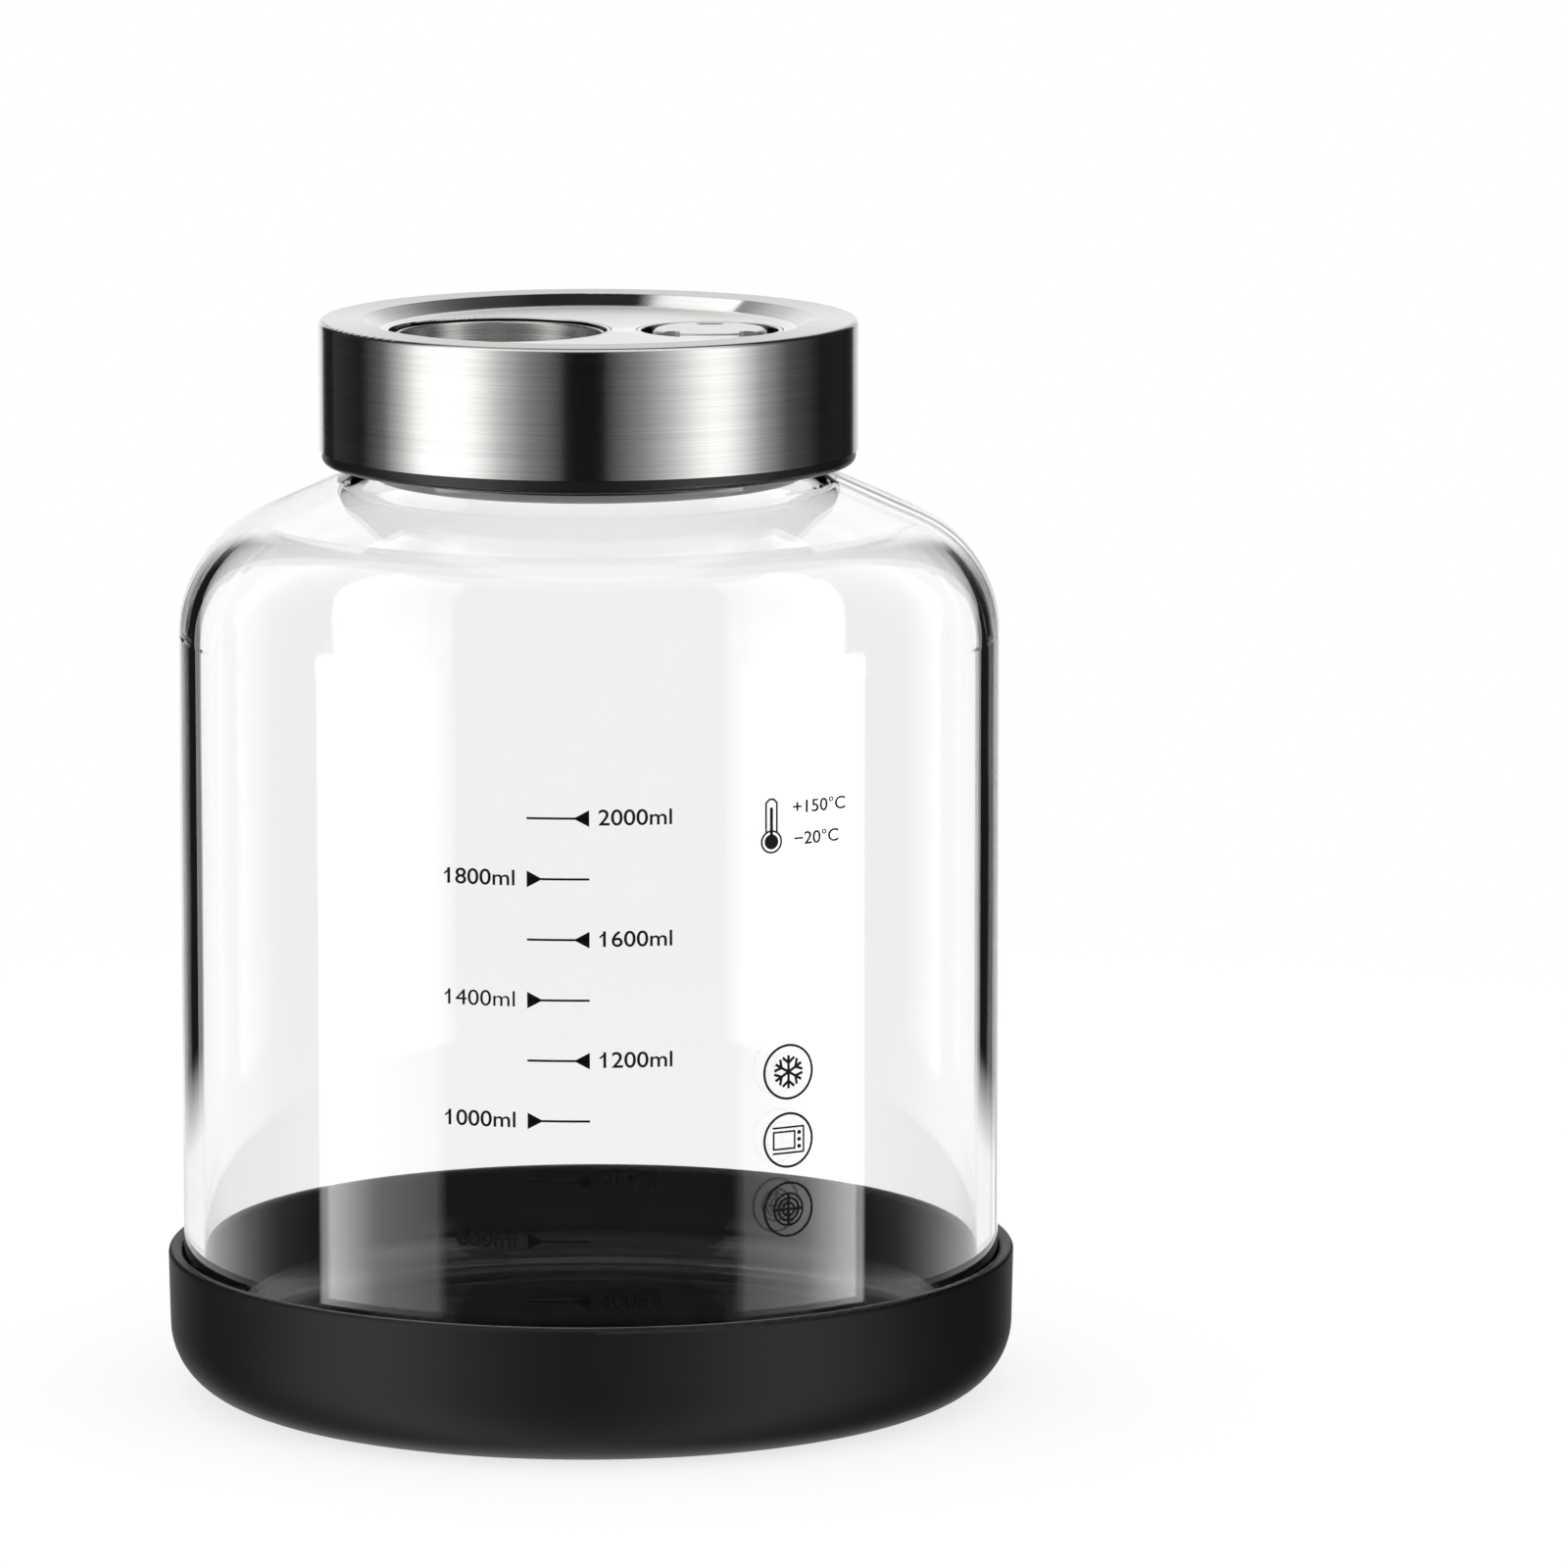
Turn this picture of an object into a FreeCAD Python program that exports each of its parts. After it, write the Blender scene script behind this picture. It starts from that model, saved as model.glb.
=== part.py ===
import FreeCAD, Part
import math
import os
import Sketcher

# Fermentation jar with airlock: a glass jar in a silicone base cup, under a steel lid
# that holds a press pump on the left and a turning airlock vent on the right.
# Millimetres. The origin is the bottom centre of the base cup, +Z is up, the front is -Y.

doc = FreeCAD.newDocument("fermentation_jar")

# Driving dimensions

SIZES = (
    # base cup
    ("base_height", 27.2),
    ("base_wall", 2.6),
    ("base_floor", 3.5),
    ("base_gap", 0.4),
    ("base_taper", 0.6),
    ("base_rim_round", 0.9),
    ("heel_relief", 1.0),
    # glass jar
    ("jar_diameter", 155.6),
    ("jar_height", 190.5),
    ("glass_wall", 3.8),
    ("glass_bottom", 4.5),
    ("heel_radius", 11.5),
    ("shoulder_radius", 24.8),
    ("shoulder_slope", 24.0),
    ("neck_height", 18.0),
    ("neck_wall", 3.0),
    ("neck_fillet", 4.0),
    ("rim_round", 1.0),
    # lid cover
    ("cover_sheet", 0.8),
    ("cover_round", 1.0),
    ("deck_depth", 2.2),
    ("deck_bend", 0.9),
    ("slope_run", 3.7),
    ("ring_width", 8.3),
    ("pump_land", 1.2),
    ("deck_web", 4.5),
    ("vent_land", 2.1),
    ("hole_gap", 0.1),
    # lid core
    ("cover_fit", 0.1),
    ("deck_space", 3.0),
    ("plate_thickness", 2.5),
    ("skirt_wall", 2.0),
    ("skirt_gap", 3.0),
    ("crown_wall", 2.2),
    ("lip_height", 2.5),
    ("lip_inset", 0.5),
    ("lip_round", 1.2),
    ("shoulder_gap", 1.9),
    ("plug_gap", 1.6),
    ("plug_wall", 1.8),
    ("barrel_wall", 1.5),
    ("barrel_floor", 2.0),
    ("well_wall", 1.2),
    ("well_floor", 2.0),
    ("collar_width", 0.6),
    ("insert_fit", 0.1),
    ("boss_diameter", 5.2),
    ("boss_gap", 0.3),
    ("boss_angle", 45.0),
    ("pilot_fit", 0.02),
    ("pilot_spare", 0.6),
    # lid gasket
    ("gasket_thickness", 2.5),
    ("gasket_fit", 0.1),
    ("gasket_play", 0.3),
    ("fin_height", 1.2),
    ("fin_space", 1.4),
    ("fin_depth", 0.5),
    # inner cover and its screws
    ("air_space", 1.5),
    ("inner_cover_thickness", 2.6),
    ("inner_cover_round", 1.2),
    ("spigot_wall", 1.6),
    ("spigot_clear", 0.3),
    ("spigot_fit", 0.1),
    ("ring_seal_width", 0.9),
    ("grille_hole", 2.2),
    ("grille_circle", 9.0),
    ("screw_diameter", 2.5),
    ("screw_length", 8.0),
    ("screw_head_diameter", 4.6),
    ("screw_head_height", 1.5),
    ("screw_fit", 0.15),
    # pump
    ("button_diameter", 39.9),
    ("button_sheet", 0.8),
    ("button_depth", 7.0),
    ("button_sink", 0.6),
    ("button_corner", 2.0),
    ("button_gap", 0.2),
    ("pump_bezel_width", 0.85),
    ("bezel_fit", 0.05),
    ("bezel_ledge", 0.2),
    ("bezel_round", 0.25),
    ("notch_depth", 1.2),
    ("notch_start", 142.0),
    ("notch_end", 198.0),
    ("stop_gap", 0.2),
    ("piston_play", 0.15),
    ("flange_thickness", 2.0),
    ("groove_height", 3.0),
    ("groove_depth", 2.6),
    ("shoe_thickness", 1.5),
    ("piston_roof", 1.4),
    ("piston_cavity", 21.0),
    ("pump_stroke", 8.0),
    ("stroke_spare", 0.5),
    ("seal_play", 0.08),
    ("seal_fit", 0.1),
    ("seal_web", 1.0),
    ("seal_lip", 0.9),
    ("pump_wire", 1.1),
    ("pump_coil_gap", 1.4),
    ("pump_coil_turns", 4.0),
    ("spring_end_gap", 0.1),
    ("umbrella_diameter", 12.0),
    ("umbrella_edge", 0.6),
    ("umbrella_crown", 1.5),
    ("umbrella_crown_diameter", 5.0),
    ("umbrella_stem", 3.0),
    ("umbrella_bulb", 4.0),
    ("umbrella_tail", 1.0),
    ("umbrella_fit", 0.05),
    ("intake_hole", 2.2),
    ("intake_cover", 1.1),
    # airlock vent
    ("knob_diameter", 21.8),
    ("knob_thickness", 4.5),
    ("knob_proud", 0.35),
    ("knob_round", 1.4),
    ("knob_moat", 2.1),
    ("knob_bridge", 1.3),
    ("knob_skirt_inset", 2.4),
    ("knob_skirt_wall", 1.3),
    ("knob_flange", 1.1),
    ("knob_flange_height", 1.5),
    ("pointer_rim", 1.5),
    ("pointer_length", 2.8),
    ("pointer_width", 5.2),
    ("pointer_depth", 1.2),
    ("pointer_round", 0.8),
    ("grip_corner", 5.6),
    ("grip_depth", 1.9),
    ("grip_round", 1.0),
    ("spring_pocket_depth", 2.0),
    ("spring_pocket_gap", 0.6),
    ("vent_bezel_width", 0.9),
    ("vent_bezel_height", 4.0),
    ("retainer_gap", 0.2),
    ("retainer_fit", 0.05),
    ("retainer_play", 0.1),
    ("retainer_thickness", 2.0),
    ("seat_thickness", 1.5),
    ("seat_fit", 0.2),
    ("seat_land", 1.9),
    ("poppet_disc", 1.5),
    ("poppet_margin", 0.5),
    ("poppet_hub_gap", 2.8),
    ("poppet_hub_cap", 0.4),
    ("poppet_pin", 3.0),
    ("poppet_pin_height", 1.5),
    ("lug_rise", 0.8),
    ("lug_diameter", 1.6),
    ("lug_inset", 0.3),
    ("lug_spare", 0.3),
    ("airlock_lift", 2.0),
    ("ramp_play", 0.15),
    ("key_gap", 0.2),
    ("vane_thickness", 1.2),
    ("vane_play", 0.15),
    ("vane_drop", 2.5),
    ("key_reach", 0.9),
    ("airlock_wire", 0.5),
    ("airlock_coil_inset", 0.55),
    ("airlock_coil_turns", 3.5),
    # one overrun serves all cuts that pass a face
    ("overrun", 1.0),
)

sheet = doc.addObject("Spreadsheet::Sheet", "dim")
for row, (alias, size) in enumerate(SIZES, start=1):
    sheet.set(f"A{row}", alias)
    sheet.set(f"B{row}", str(size))
    sheet.setAlias(f"B{row}", alias)
doc.recompute()

QUARTER_TURN = 90
FULL_TURN = 360

# Levels and radii that several pieces share, as expressions in the sheet's cells

jar_r = "(dim.jar_diameter / 2)"
base_bore_r = f"({jar_r} + dim.base_gap)"
base_r = f"({base_bore_r} + dim.base_wall)"
base_corner = "(dim.heel_radius - dim.heel_relief)"

button_r = "(dim.button_diameter / 2)"
pump_bezel_bore_r = f"({button_r} + dim.button_gap)"
pump_bezel_r = f"({pump_bezel_bore_r} + dim.pump_bezel_width)"
pump_hole_r = f"({pump_bezel_r} + dim.hole_gap)"
barrel_bore_r = f"({pump_bezel_r} - dim.bezel_ledge)"
barrel_r = f"({barrel_bore_r} + dim.barrel_wall)"

knob_r = "(dim.knob_diameter / 2)"
well_bore_r = f"({knob_r} + dim.knob_moat)"
vent_bezel_r = f"({well_bore_r} + dim.vent_bezel_width)"
vent_hole_r = f"({vent_bezel_r} + dim.hole_gap)"
well_r = f"({vent_bezel_r} + dim.well_wall)"

deck_r = f"(dim.pump_land / 2 + {pump_hole_r} + dim.deck_web / 2 + {vent_hole_r} + dim.vent_land / 2)"
pump_x = f"({pump_hole_r} + dim.pump_land - {deck_r})"
vent_x = f"({deck_r} - dim.vent_land - {vent_hole_r})"
ring_r = f"({deck_r} + dim.slope_run)"
cover_r = f"({ring_r} + dim.ring_width)"
cover_bore_r = f"({cover_r} - dim.cover_sheet)"
core_r = f"({cover_bore_r} - dim.cover_fit)"
skirt_r = f"({core_r} - dim.skirt_wall)"
neck_r = f"({skirt_r} - dim.skirt_gap)"
mouth_r = f"({neck_r} - dim.neck_wall)"
plug_r = f"({mouth_r} - dim.plug_gap)"
plug_bore_r = f"({plug_r} - dim.plug_wall)"

rim_z = "(dim.base_floor + dim.jar_height)"
foot_z = f"({rim_z} - dim.neck_height)"
seat_z = f"({rim_z} + dim.gasket_thickness)"
plate_z = f"({seat_z} + dim.plate_thickness)"
deck_under_z = f"({plate_z} + dim.deck_space)"
deck_z = f"({deck_under_z} + dim.cover_sheet)"
top_z = f"({deck_z} + dim.deck_depth)"
lip_z = f"({foot_z} + dim.shoulder_gap)"
band_z = f"({lip_z} + dim.lip_height)"
tower_z = f"({deck_under_z} - dim.cover_fit)"

button_z = f"({deck_z} - dim.button_sink)"
button_floor_z = f"({button_z} - dim.button_depth)"
piston_z = f"({button_floor_z} - dim.button_sheet)"
pump_bezel_z = f"({piston_z} + dim.stop_gap)"
groove_z = f"({piston_z} - dim.flange_thickness)"
shoe_z = f"({groove_z} - dim.groove_height)"
piston_low_z = f"({shoe_z} - dim.shoe_thickness)"
piston_roof_z = f"({piston_z} - dim.piston_roof)"
barrel_floor_z = f"({piston_low_z} - dim.pump_stroke - dim.stroke_spare)"
barrel_low_z = f"({barrel_floor_z} - dim.barrel_floor)"
plug_z = f"({barrel_low_z} - dim.air_space)"
inner_cover_z = f"({plug_z} - dim.inner_cover_thickness)"

knob_z = f"({deck_z} + dim.knob_proud)"
knob_under_z = f"({knob_z} - dim.knob_thickness)"
window_z = f"({knob_under_z} - dim.knob_bridge)"
lug_z = f"({window_z} - dim.lug_spare - dim.airlock_lift - dim.lug_diameter)"
poppet_z = f"({lug_z} - dim.lug_rise - dim.poppet_disc)"
well_floor_z = f"({poppet_z} - dim.seat_thickness)"
well_low_z = f"({well_floor_z} - dim.well_floor)"
hub_z = f"({lug_z} + dim.lug_diameter + dim.poppet_hub_cap)"
spring_pocket_z = f"({knob_under_z} + dim.spring_pocket_depth)"
knob_skirt_r = f"({knob_r} - dim.knob_skirt_inset)"
knob_skirt_bore_r = f"({knob_skirt_r} - dim.knob_skirt_wall)"
knob_flange_r = f"({knob_skirt_r} + dim.knob_flange)"
seat_r = f"({knob_skirt_bore_r} - dim.seat_fit)"
seat_bore_r = f"({seat_r} - dim.seat_land)"
key_r = f"({seat_bore_r} - dim.key_gap)"
vent_bore_r = f"({key_r} - dim.key_reach)"
hub_r = f"({knob_skirt_bore_r} - dim.poppet_hub_gap)"
spring_pocket_r = f"({hub_r} + dim.spring_pocket_gap)"
airlock_coil_r = f"({hub_r} - dim.airlock_coil_inset - dim.airlock_wire / 2)"
piston_cavity_r = "(dim.piston_cavity / 2)"
pump_coil_r = f"({piston_cavity_r} - dim.pump_coil_gap - dim.pump_wire / 2)"

spigot_r = f"({plug_bore_r} - dim.spigot_fit - dim.ring_seal_width)"
spigot_bore_r = f"({spigot_r} - dim.spigot_wall)"
spigot_z = f"({barrel_low_z} - dim.spigot_clear)"
boss_r = "(dim.boss_diameter / 2)"
boss_circle_r = f"({spigot_bore_r} - dim.boss_gap - {boss_r})"
intake_circle_r = "(dim.umbrella_diameter / 2 - dim.intake_cover - dim.intake_hole / 2)"


def number(expression):
    """The value of an expression in the sheet's cells."""
    return float(sheet.evalExpression(expression))


def new_body(label, x="0"):
    """An empty body, moved along X to the axis of its own mechanism."""
    body = doc.addObject("PartDesign::Body", label)
    body.Label = label
    if x != "0":
        body.setExpression("Placement.Base.x", x)
    return body


def new_sketch(body, name, plane, level="0"):
    """An empty sketch on one of the body's origin planes, raised to a level."""
    sketch = body.newObject("Sketcher::SketchObject", name)
    support = next(item for item in body.Origin.OriginFeatures if item.Role == plane)
    sketch.AttachmentSupport = [(support, "")]
    sketch.MapMode = "FlatFace"
    if level != "0":
        sketch.setExpression("AttachmentOffset.Base.z", level)
    return sketch


class Constraints:
    """Collects a sketch's constraints and binds the measured ones to the sheet."""

    def __init__(self, sketch):
        self.sketch = sketch
        self.items = []
        self.bindings = []

    def add(self, *arguments):
        self.items.append(Sketcher.Constraint(*arguments))

    def bind(self, name, expression, *arguments):
        self.bindings.append((len(self.items), name, expression))
        self.add(*arguments)

    def locate(self, name, geometry, point, x, y):
        """Hold a point at two expressions measured from the sketch's origin."""
        for kind, axis, expression in (("DistanceX", -2, x), ("DistanceY", -1, y)):
            value = number(expression)
            label = f"{name}_{kind[-1].lower()}"
            if expression == "0":
                self.add("PointOnObject", geometry, point, axis)
            elif value < 0:
                self.bind(label, f"-({expression})", kind, geometry, point, -1, 1, -value)
            else:
                self.bind(label, expression, kind, -1, 1, geometry, point, value)

    def apply(self):
        self.sketch.addConstraint(self.items)
        for index, name, expression in self.bindings:
            self.sketch.renameConstraint(index, name)
            self.sketch.setExpression(f"Constraints.{name}", expression)


def rounded_corner(before, corner, after, radius):
    """Tangent points and arc of a rounded corner between two straight edges."""
    back = (before - corner).normalize()
    ahead = (after - corner).normalize()
    half = back.getAngle(ahead) / 2
    reach = radius / math.tan(half)
    first = corner + back * reach
    last = corner + ahead * reach
    middle = (back + ahead).normalize()
    centre = corner + middle * (radius / math.sin(half))
    turns_left = back.cross(ahead).z < 0
    start, end = (first, last) if turns_left else (last, first)
    start_angle = math.atan2(start.y - centre.y, start.x - centre.x)
    end_angle = math.atan2(end.y - centre.y, end.x - centre.x)
    circle = Part.Circle(centre, FreeCAD.Vector(0, 0, 1), radius)
    return first, last, Part.ArcOfCircle(circle, start_angle, end_angle), turns_left


def draw_outline(sketch, corners):
    """A closed outline of straight edges; a corner's third item is its rounding radius."""
    points = [FreeCAD.Vector(number(corner[0]), number(corner[1]), 0) for corner in corners]
    count = len(points)
    starts = list(points)
    ends = list(points)
    arcs = {}
    for index, corner in enumerate(corners):
        if len(corner) == 3:
            before, after = points[index - 1], points[(index + 1) % count]
            ends[index], starts[index], arc, turns_left = rounded_corner(
                before, points[index], after, number(corner[2]))
            arcs[index] = (arc, turns_left)
    lines = [
        sketch.addGeometry(Part.LineSegment(starts[index], ends[(index + 1) % count]), False)
        for index in range(count)
    ]
    constraints = Constraints(sketch)
    for index, corner in enumerate(corners):
        incoming, outgoing = lines[index - 1], lines[index]
        if index in arcs:
            arc, turns_left = arcs[index]
            curve = sketch.addGeometry(arc, False)
            mark = sketch.addGeometry(Part.Point(points[index]), True)
            near, far = (1, 2) if turns_left else (2, 1)
            constraints.add("Tangent", incoming, 2, curve, near)
            constraints.add("Tangent", curve, far, outgoing, 1)
            constraints.add("PointOnObject", mark, 1, incoming)
            constraints.add("PointOnObject", mark, 1, outgoing)
            constraints.bind(f"round_{index}", corner[2], "Radius", curve, number(corner[2]))
            constraints.locate(f"corner_{index}", mark, 1, corner[0], corner[1])
        else:
            constraints.add("Coincident", incoming, 2, outgoing, 1)
            constraints.locate(f"corner_{index}", outgoing, 1, corner[0], corner[1])
    constraints.apply()


def draw_circles(sketch, circles):
    """Circles given as centre x, centre y and radius."""
    constraints = Constraints(sketch)
    for index, (x, y, radius) in enumerate(circles):
        centre = FreeCAD.Vector(number(x), number(y), 0)
        circle = Part.Circle(centre, FreeCAD.Vector(0, 0, 1), number(radius))
        geometry = sketch.addGeometry(circle, False)
        constraints.locate(f"centre_{index}", geometry, 3, x, y)
        constraints.bind(f"radius_{index}", radius, "Radius", geometry, number(radius))
    constraints.apply()


def revolve(body, name, corners):
    """Turn a profile of radius and height once around the body's own Z axis."""
    sketch = new_sketch(body, f"{name}_profile", "XZ_Plane")
    draw_outline(sketch, corners)
    feature = body.newObject("PartDesign::Revolution", name)
    feature.Profile = sketch
    feature.ReferenceAxis = (sketch, ["V_Axis"])
    feature.Angle = FULL_TURN
    return feature


def extrude(body, name, kind, sketch, length, reverse=False, both_ways=False):
    """A Pad along the sketch's normal, or a Pocket against it."""
    feature = body.newObject(f"PartDesign::{kind}", name)
    feature.Profile = sketch
    feature.Type = "Length"
    feature.setExpression("Length", length)
    feature.Reversed = reverse
    if both_ways:
        feature.SideType = "Symmetric"
    return feature


def round_pads(body, name, low, high, circles, reverse=False):
    sketch = new_sketch(body, f"{name}_circles", "XY_Plane", low)
    draw_circles(sketch, circles)
    return extrude(body, name, "Pad", sketch, f"{high} - {low}", reverse)


def round_holes(body, name, high, low, circles):
    sketch = new_sketch(body, f"{name}_circles", "XY_Plane", high)
    draw_circles(sketch, circles)
    return extrude(body, name, "Pocket", sketch, f"{high} - {low}")


def around(x, radius, count, first=0.0):
    """Centres evenly spaced on a circle round a point on the X axis."""
    step = FULL_TURN / count
    centres = []
    for index in range(count):
        angle = f"({first} + {step * index})"
        centres.append((f"({x} + {radius} * cos({angle}))", f"({radius} * sin({angle}))"))
    return centres


def polar_copies(body, name, feature, count):
    """Repeat a feature evenly around the body's own Z axis."""
    pattern = body.newObject("PartDesign::PolarPattern", name)
    pattern.Originals = [feature]
    z_axis = next(item for item in body.Origin.OriginFeatures if item.Role == "Z_Axis")
    pattern.Axis = (z_axis, [""])
    pattern.Angle = FULL_TURN
    pattern.Occurrences = count
    body.Tip = pattern
    return pattern


def coil(label, x, low, high, wire, radius, turns):
    """A round wire wound between two seats, with a small gap left at each end."""
    height = f"({high} - {low} - {wire} - 2 * dim.spring_end_gap)"
    helix = doc.addObject("Part::Helix", f"{label}_path")
    helix.setExpression("Radius", radius)
    helix.setExpression("Height", height)
    helix.setExpression("Pitch", f"{height} / {turns}")
    section = doc.addObject("Part::Circle", f"{label}_wire")
    section.setExpression("Radius", f"{wire} / 2")
    section.Placement.Rotation = FreeCAD.Rotation(FreeCAD.Vector(1, 0, 0), QUARTER_TURN)
    section.setExpression("Placement.Base.x", radius)
    doc.recompute()
    sweep = doc.addObject("Part::Sweep", label)
    sweep.Label = label
    sweep.Sections = [section]
    sweep.Spine = (helix, [f"Edge{index + 1}" for index in range(len(helix.Shape.Edges))])
    sweep.Solid = True
    sweep.Frenet = True
    sweep.setExpression("Placement.Base.x", x)
    sweep.setExpression("Placement.Base.z", f"{low} + {wire} / 2 + dim.spring_end_gap")
    return sweep


def make_base_cup():
    """Silicone cup, slightly tapered outside, with a rounded foot and rim."""
    body = new_body("base_cup")
    revolve(body, "cup", [
        ("0", "0"),
        (f"{base_r} - dim.base_taper", "0", f"{base_corner} + dim.base_wall"),
        (base_r, "dim.base_height", "dim.base_rim_round"),
        (base_bore_r, "dim.base_height", "dim.base_rim_round"),
        (base_bore_r, "dim.base_floor", base_corner),
        ("0", "dim.base_floor"),
    ])
    return body


def make_glass_jar():
    """Blown jar: even wall over heel, cylinder, sloped shoulder and straight neck."""
    inner_r = f"({jar_r} - dim.glass_wall)"
    slope = "tan(dim.shoulder_slope)"
    drop = "dim.glass_wall / cos(dim.shoulder_slope)"
    inner_floor = "(dim.base_floor + dim.glass_bottom)"
    body = new_body("glass_jar")
    revolve(body, "jar", [
        ("0", "dim.base_floor"),
        (jar_r, "dim.base_floor", "dim.heel_radius"),
        (jar_r, f"{foot_z} - ({jar_r} - {neck_r}) * {slope}", "dim.shoulder_radius"),
        (neck_r, foot_z, "dim.neck_fillet"),
        (neck_r, rim_z, "dim.rim_round"),
        (mouth_r, rim_z, "dim.rim_round"),
        (mouth_r, f"{foot_z} + ({neck_r} - {mouth_r}) * {slope} - {drop}", "dim.neck_fillet + dim.neck_wall"),
        (inner_r, f"{foot_z} - ({inner_r} - {neck_r}) * {slope} - {drop}",
         "dim.shoulder_radius - dim.glass_wall"),
        (inner_r, inner_floor, "dim.heel_radius - dim.glass_wall"),
        ("0", inner_floor),
    ])
    return body


def make_lid_cover():
    """Drawn steel cover: band, flat ring, slope and a sunk deck with two punched holes."""
    slope_angle = "atan(dim.deck_depth / dim.slope_run)"
    shift = f"dim.cover_sheet * tan({slope_angle} / 2)"
    body = new_body("lid_cover")
    revolve(body, "drawn_sheet", [
        ("0", deck_under_z),
        (f"{deck_r} + {shift}", deck_under_z),
        (f"{ring_r} + {shift}", f"{top_z} - dim.cover_sheet"),
        (cover_bore_r, f"{top_z} - dim.cover_sheet"),
        (cover_bore_r, f"{band_z} + dim.cover_fit"),
        (cover_r, f"{band_z} + dim.cover_fit"),
        (cover_r, top_z, "dim.cover_round"),
        (ring_r, top_z, "dim.deck_bend"),
        (deck_r, deck_z, "dim.deck_bend"),
        ("0", deck_z),
    ])
    round_holes(body, "punched_holes", f"({deck_z} + dim.overrun)", f"({deck_under_z} - dim.overrun)", [
        (pump_x, "0", pump_hole_r),
        (vent_x, "0", vent_hole_r),
    ])
    return body


def make_lid_core():
    """Moulded body of the lid: skirt, plug, plate with two seats for inserts, and screw bosses."""
    bosses = around("0", boss_circle_r, 4, "dim.boss_angle")
    body = new_body("lid_core")
    revolve(body, "moulding", [
        ("0", seat_z),
        (plug_bore_r, seat_z),
        (plug_bore_r, plug_z),
        (plug_r, plug_z),
        (plug_r, seat_z),
        (skirt_r, seat_z),
        (skirt_r, lip_z),
        (f"{cover_r} - dim.lip_inset", lip_z, "dim.lip_round"),
        (f"{cover_r} - dim.lip_inset", band_z),
        (core_r, band_z),
        (core_r, f"{top_z} - dim.cover_sheet - dim.cover_fit"),
        (f"{core_r} - dim.crown_wall", f"{top_z} - dim.cover_sheet - dim.cover_fit"),
        (f"{core_r} - dim.crown_wall", plate_z),
        ("0", plate_z),
    ])
    round_pads(body, "bosses", plug_z, plate_z, [(x, y, boss_r) for x, y in bosses])
    above = f"({plate_z} + dim.overrun)"
    round_holes(body, "barrel_seat", above, barrel_low_z, [(pump_x, "0", f"{barrel_r} + dim.insert_fit")])
    round_holes(body, "well_seat", above, well_low_z, [(vent_x, "0", f"{well_r} + dim.insert_fit")])
    pilots = new_sketch(body, "pilot_circles", "XY_Plane", plug_z)
    draw_circles(pilots, [(x, y, "dim.screw_diameter / 2 + dim.pilot_fit") for x, y in bosses])
    in_plate = "(dim.inner_cover_thickness - dim.screw_head_height)"
    extrude(body, "pilot_holes", "Pocket", pilots,
            f"dim.screw_length - {in_plate} + dim.pilot_spare", reverse=True)
    return body


def make_pump_barrel():
    """Pump cylinder that hangs by its collar on the plate, with a valve seat in its floor."""
    below = f"({barrel_low_z} - dim.overrun)"
    rebate_r = f"({pump_bezel_r} + dim.bezel_fit)"
    body = new_body("pump_barrel", pump_x)
    revolve(body, "cylinder", [
        ("0", barrel_low_z),
        (barrel_r, barrel_low_z),
        (barrel_r, plate_z),
        (f"{barrel_r} + dim.collar_width", plate_z),
        (f"{barrel_r} + dim.collar_width", tower_z),
        (rebate_r, tower_z),
        (rebate_r, pump_bezel_z),
        (barrel_bore_r, pump_bezel_z),
        (barrel_bore_r, barrel_floor_z),
        ("0", barrel_floor_z),
    ])
    round_holes(body, "valve_stem_hole", barrel_floor_z, below,
                [("0", "0", "dim.umbrella_stem / 2 + dim.umbrella_fit")])
    round_holes(body, "intake_holes", barrel_floor_z, below,
                [(x, y, "dim.intake_hole / 2") for x, y in around("0", intake_circle_r, 6)])
    return body


def make_vent_well():
    """Housing of the vent that hangs by its collar on the plate, with a keyed hole in its floor."""
    rebate_r = f"({vent_bezel_r} + dim.bezel_fit)"
    rebate_z = f"({deck_z} - dim.vent_bezel_height)"
    body = new_body("vent_well", vent_x)
    revolve(body, "housing", [
        (vent_bore_r, well_low_z),
        (well_r, well_low_z),
        (well_r, plate_z),
        (f"{well_r} + dim.collar_width", plate_z),
        (f"{well_r} + dim.collar_width", tower_z),
        (rebate_r, tower_z),
        (rebate_r, rebate_z),
        (well_bore_r, rebate_z),
        (well_bore_r, well_floor_z),
        (vent_bore_r, well_floor_z),
    ])
    keyway = new_sketch(body, "keyway_outline", "XY_Plane", well_floor_z)
    key_half = "(dim.vane_thickness / 2 + dim.vane_play)"
    draw_outline(keyway, [
        (f"-{key_r}", f"-{key_half}"),
        (key_r, f"-{key_half}"),
        (key_r, key_half),
        (f"-{key_r}", key_half),
    ])
    extrude(body, "keyway", "Pocket", keyway, "dim.well_floor + dim.overrun")
    return body


def make_lid_gasket():
    """Silicone ring on the glass rim, with a lip and two fins that enter the mouth."""
    bore = f"({plug_r} + dim.gasket_fit)"
    lip = f"({mouth_r} - dim.gasket_play - dim.fin_depth)"
    fin = f"({mouth_r} - dim.gasket_play)"
    low = f"({rim_z} - dim.fin_space - dim.fin_height * 3)"
    body = new_body("lid_gasket")
    revolve(body, "ring", [
        (bore, low),
        (lip, low),
        (lip, f"{low} + dim.fin_height / 2"),
        (fin, f"{low} + dim.fin_height"),
        (lip, f"{low} + dim.fin_height * 3 / 2"),
        (lip, f"{rim_z} - dim.fin_height * 3 / 2"),
        (fin, f"{rim_z} - dim.fin_height"),
        (lip, f"{rim_z} - dim.fin_height / 2"),
        (lip, rim_z),
        (neck_r, rim_z),
        (neck_r, seat_z),
        (bore, seat_z),
    ])
    return body


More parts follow.
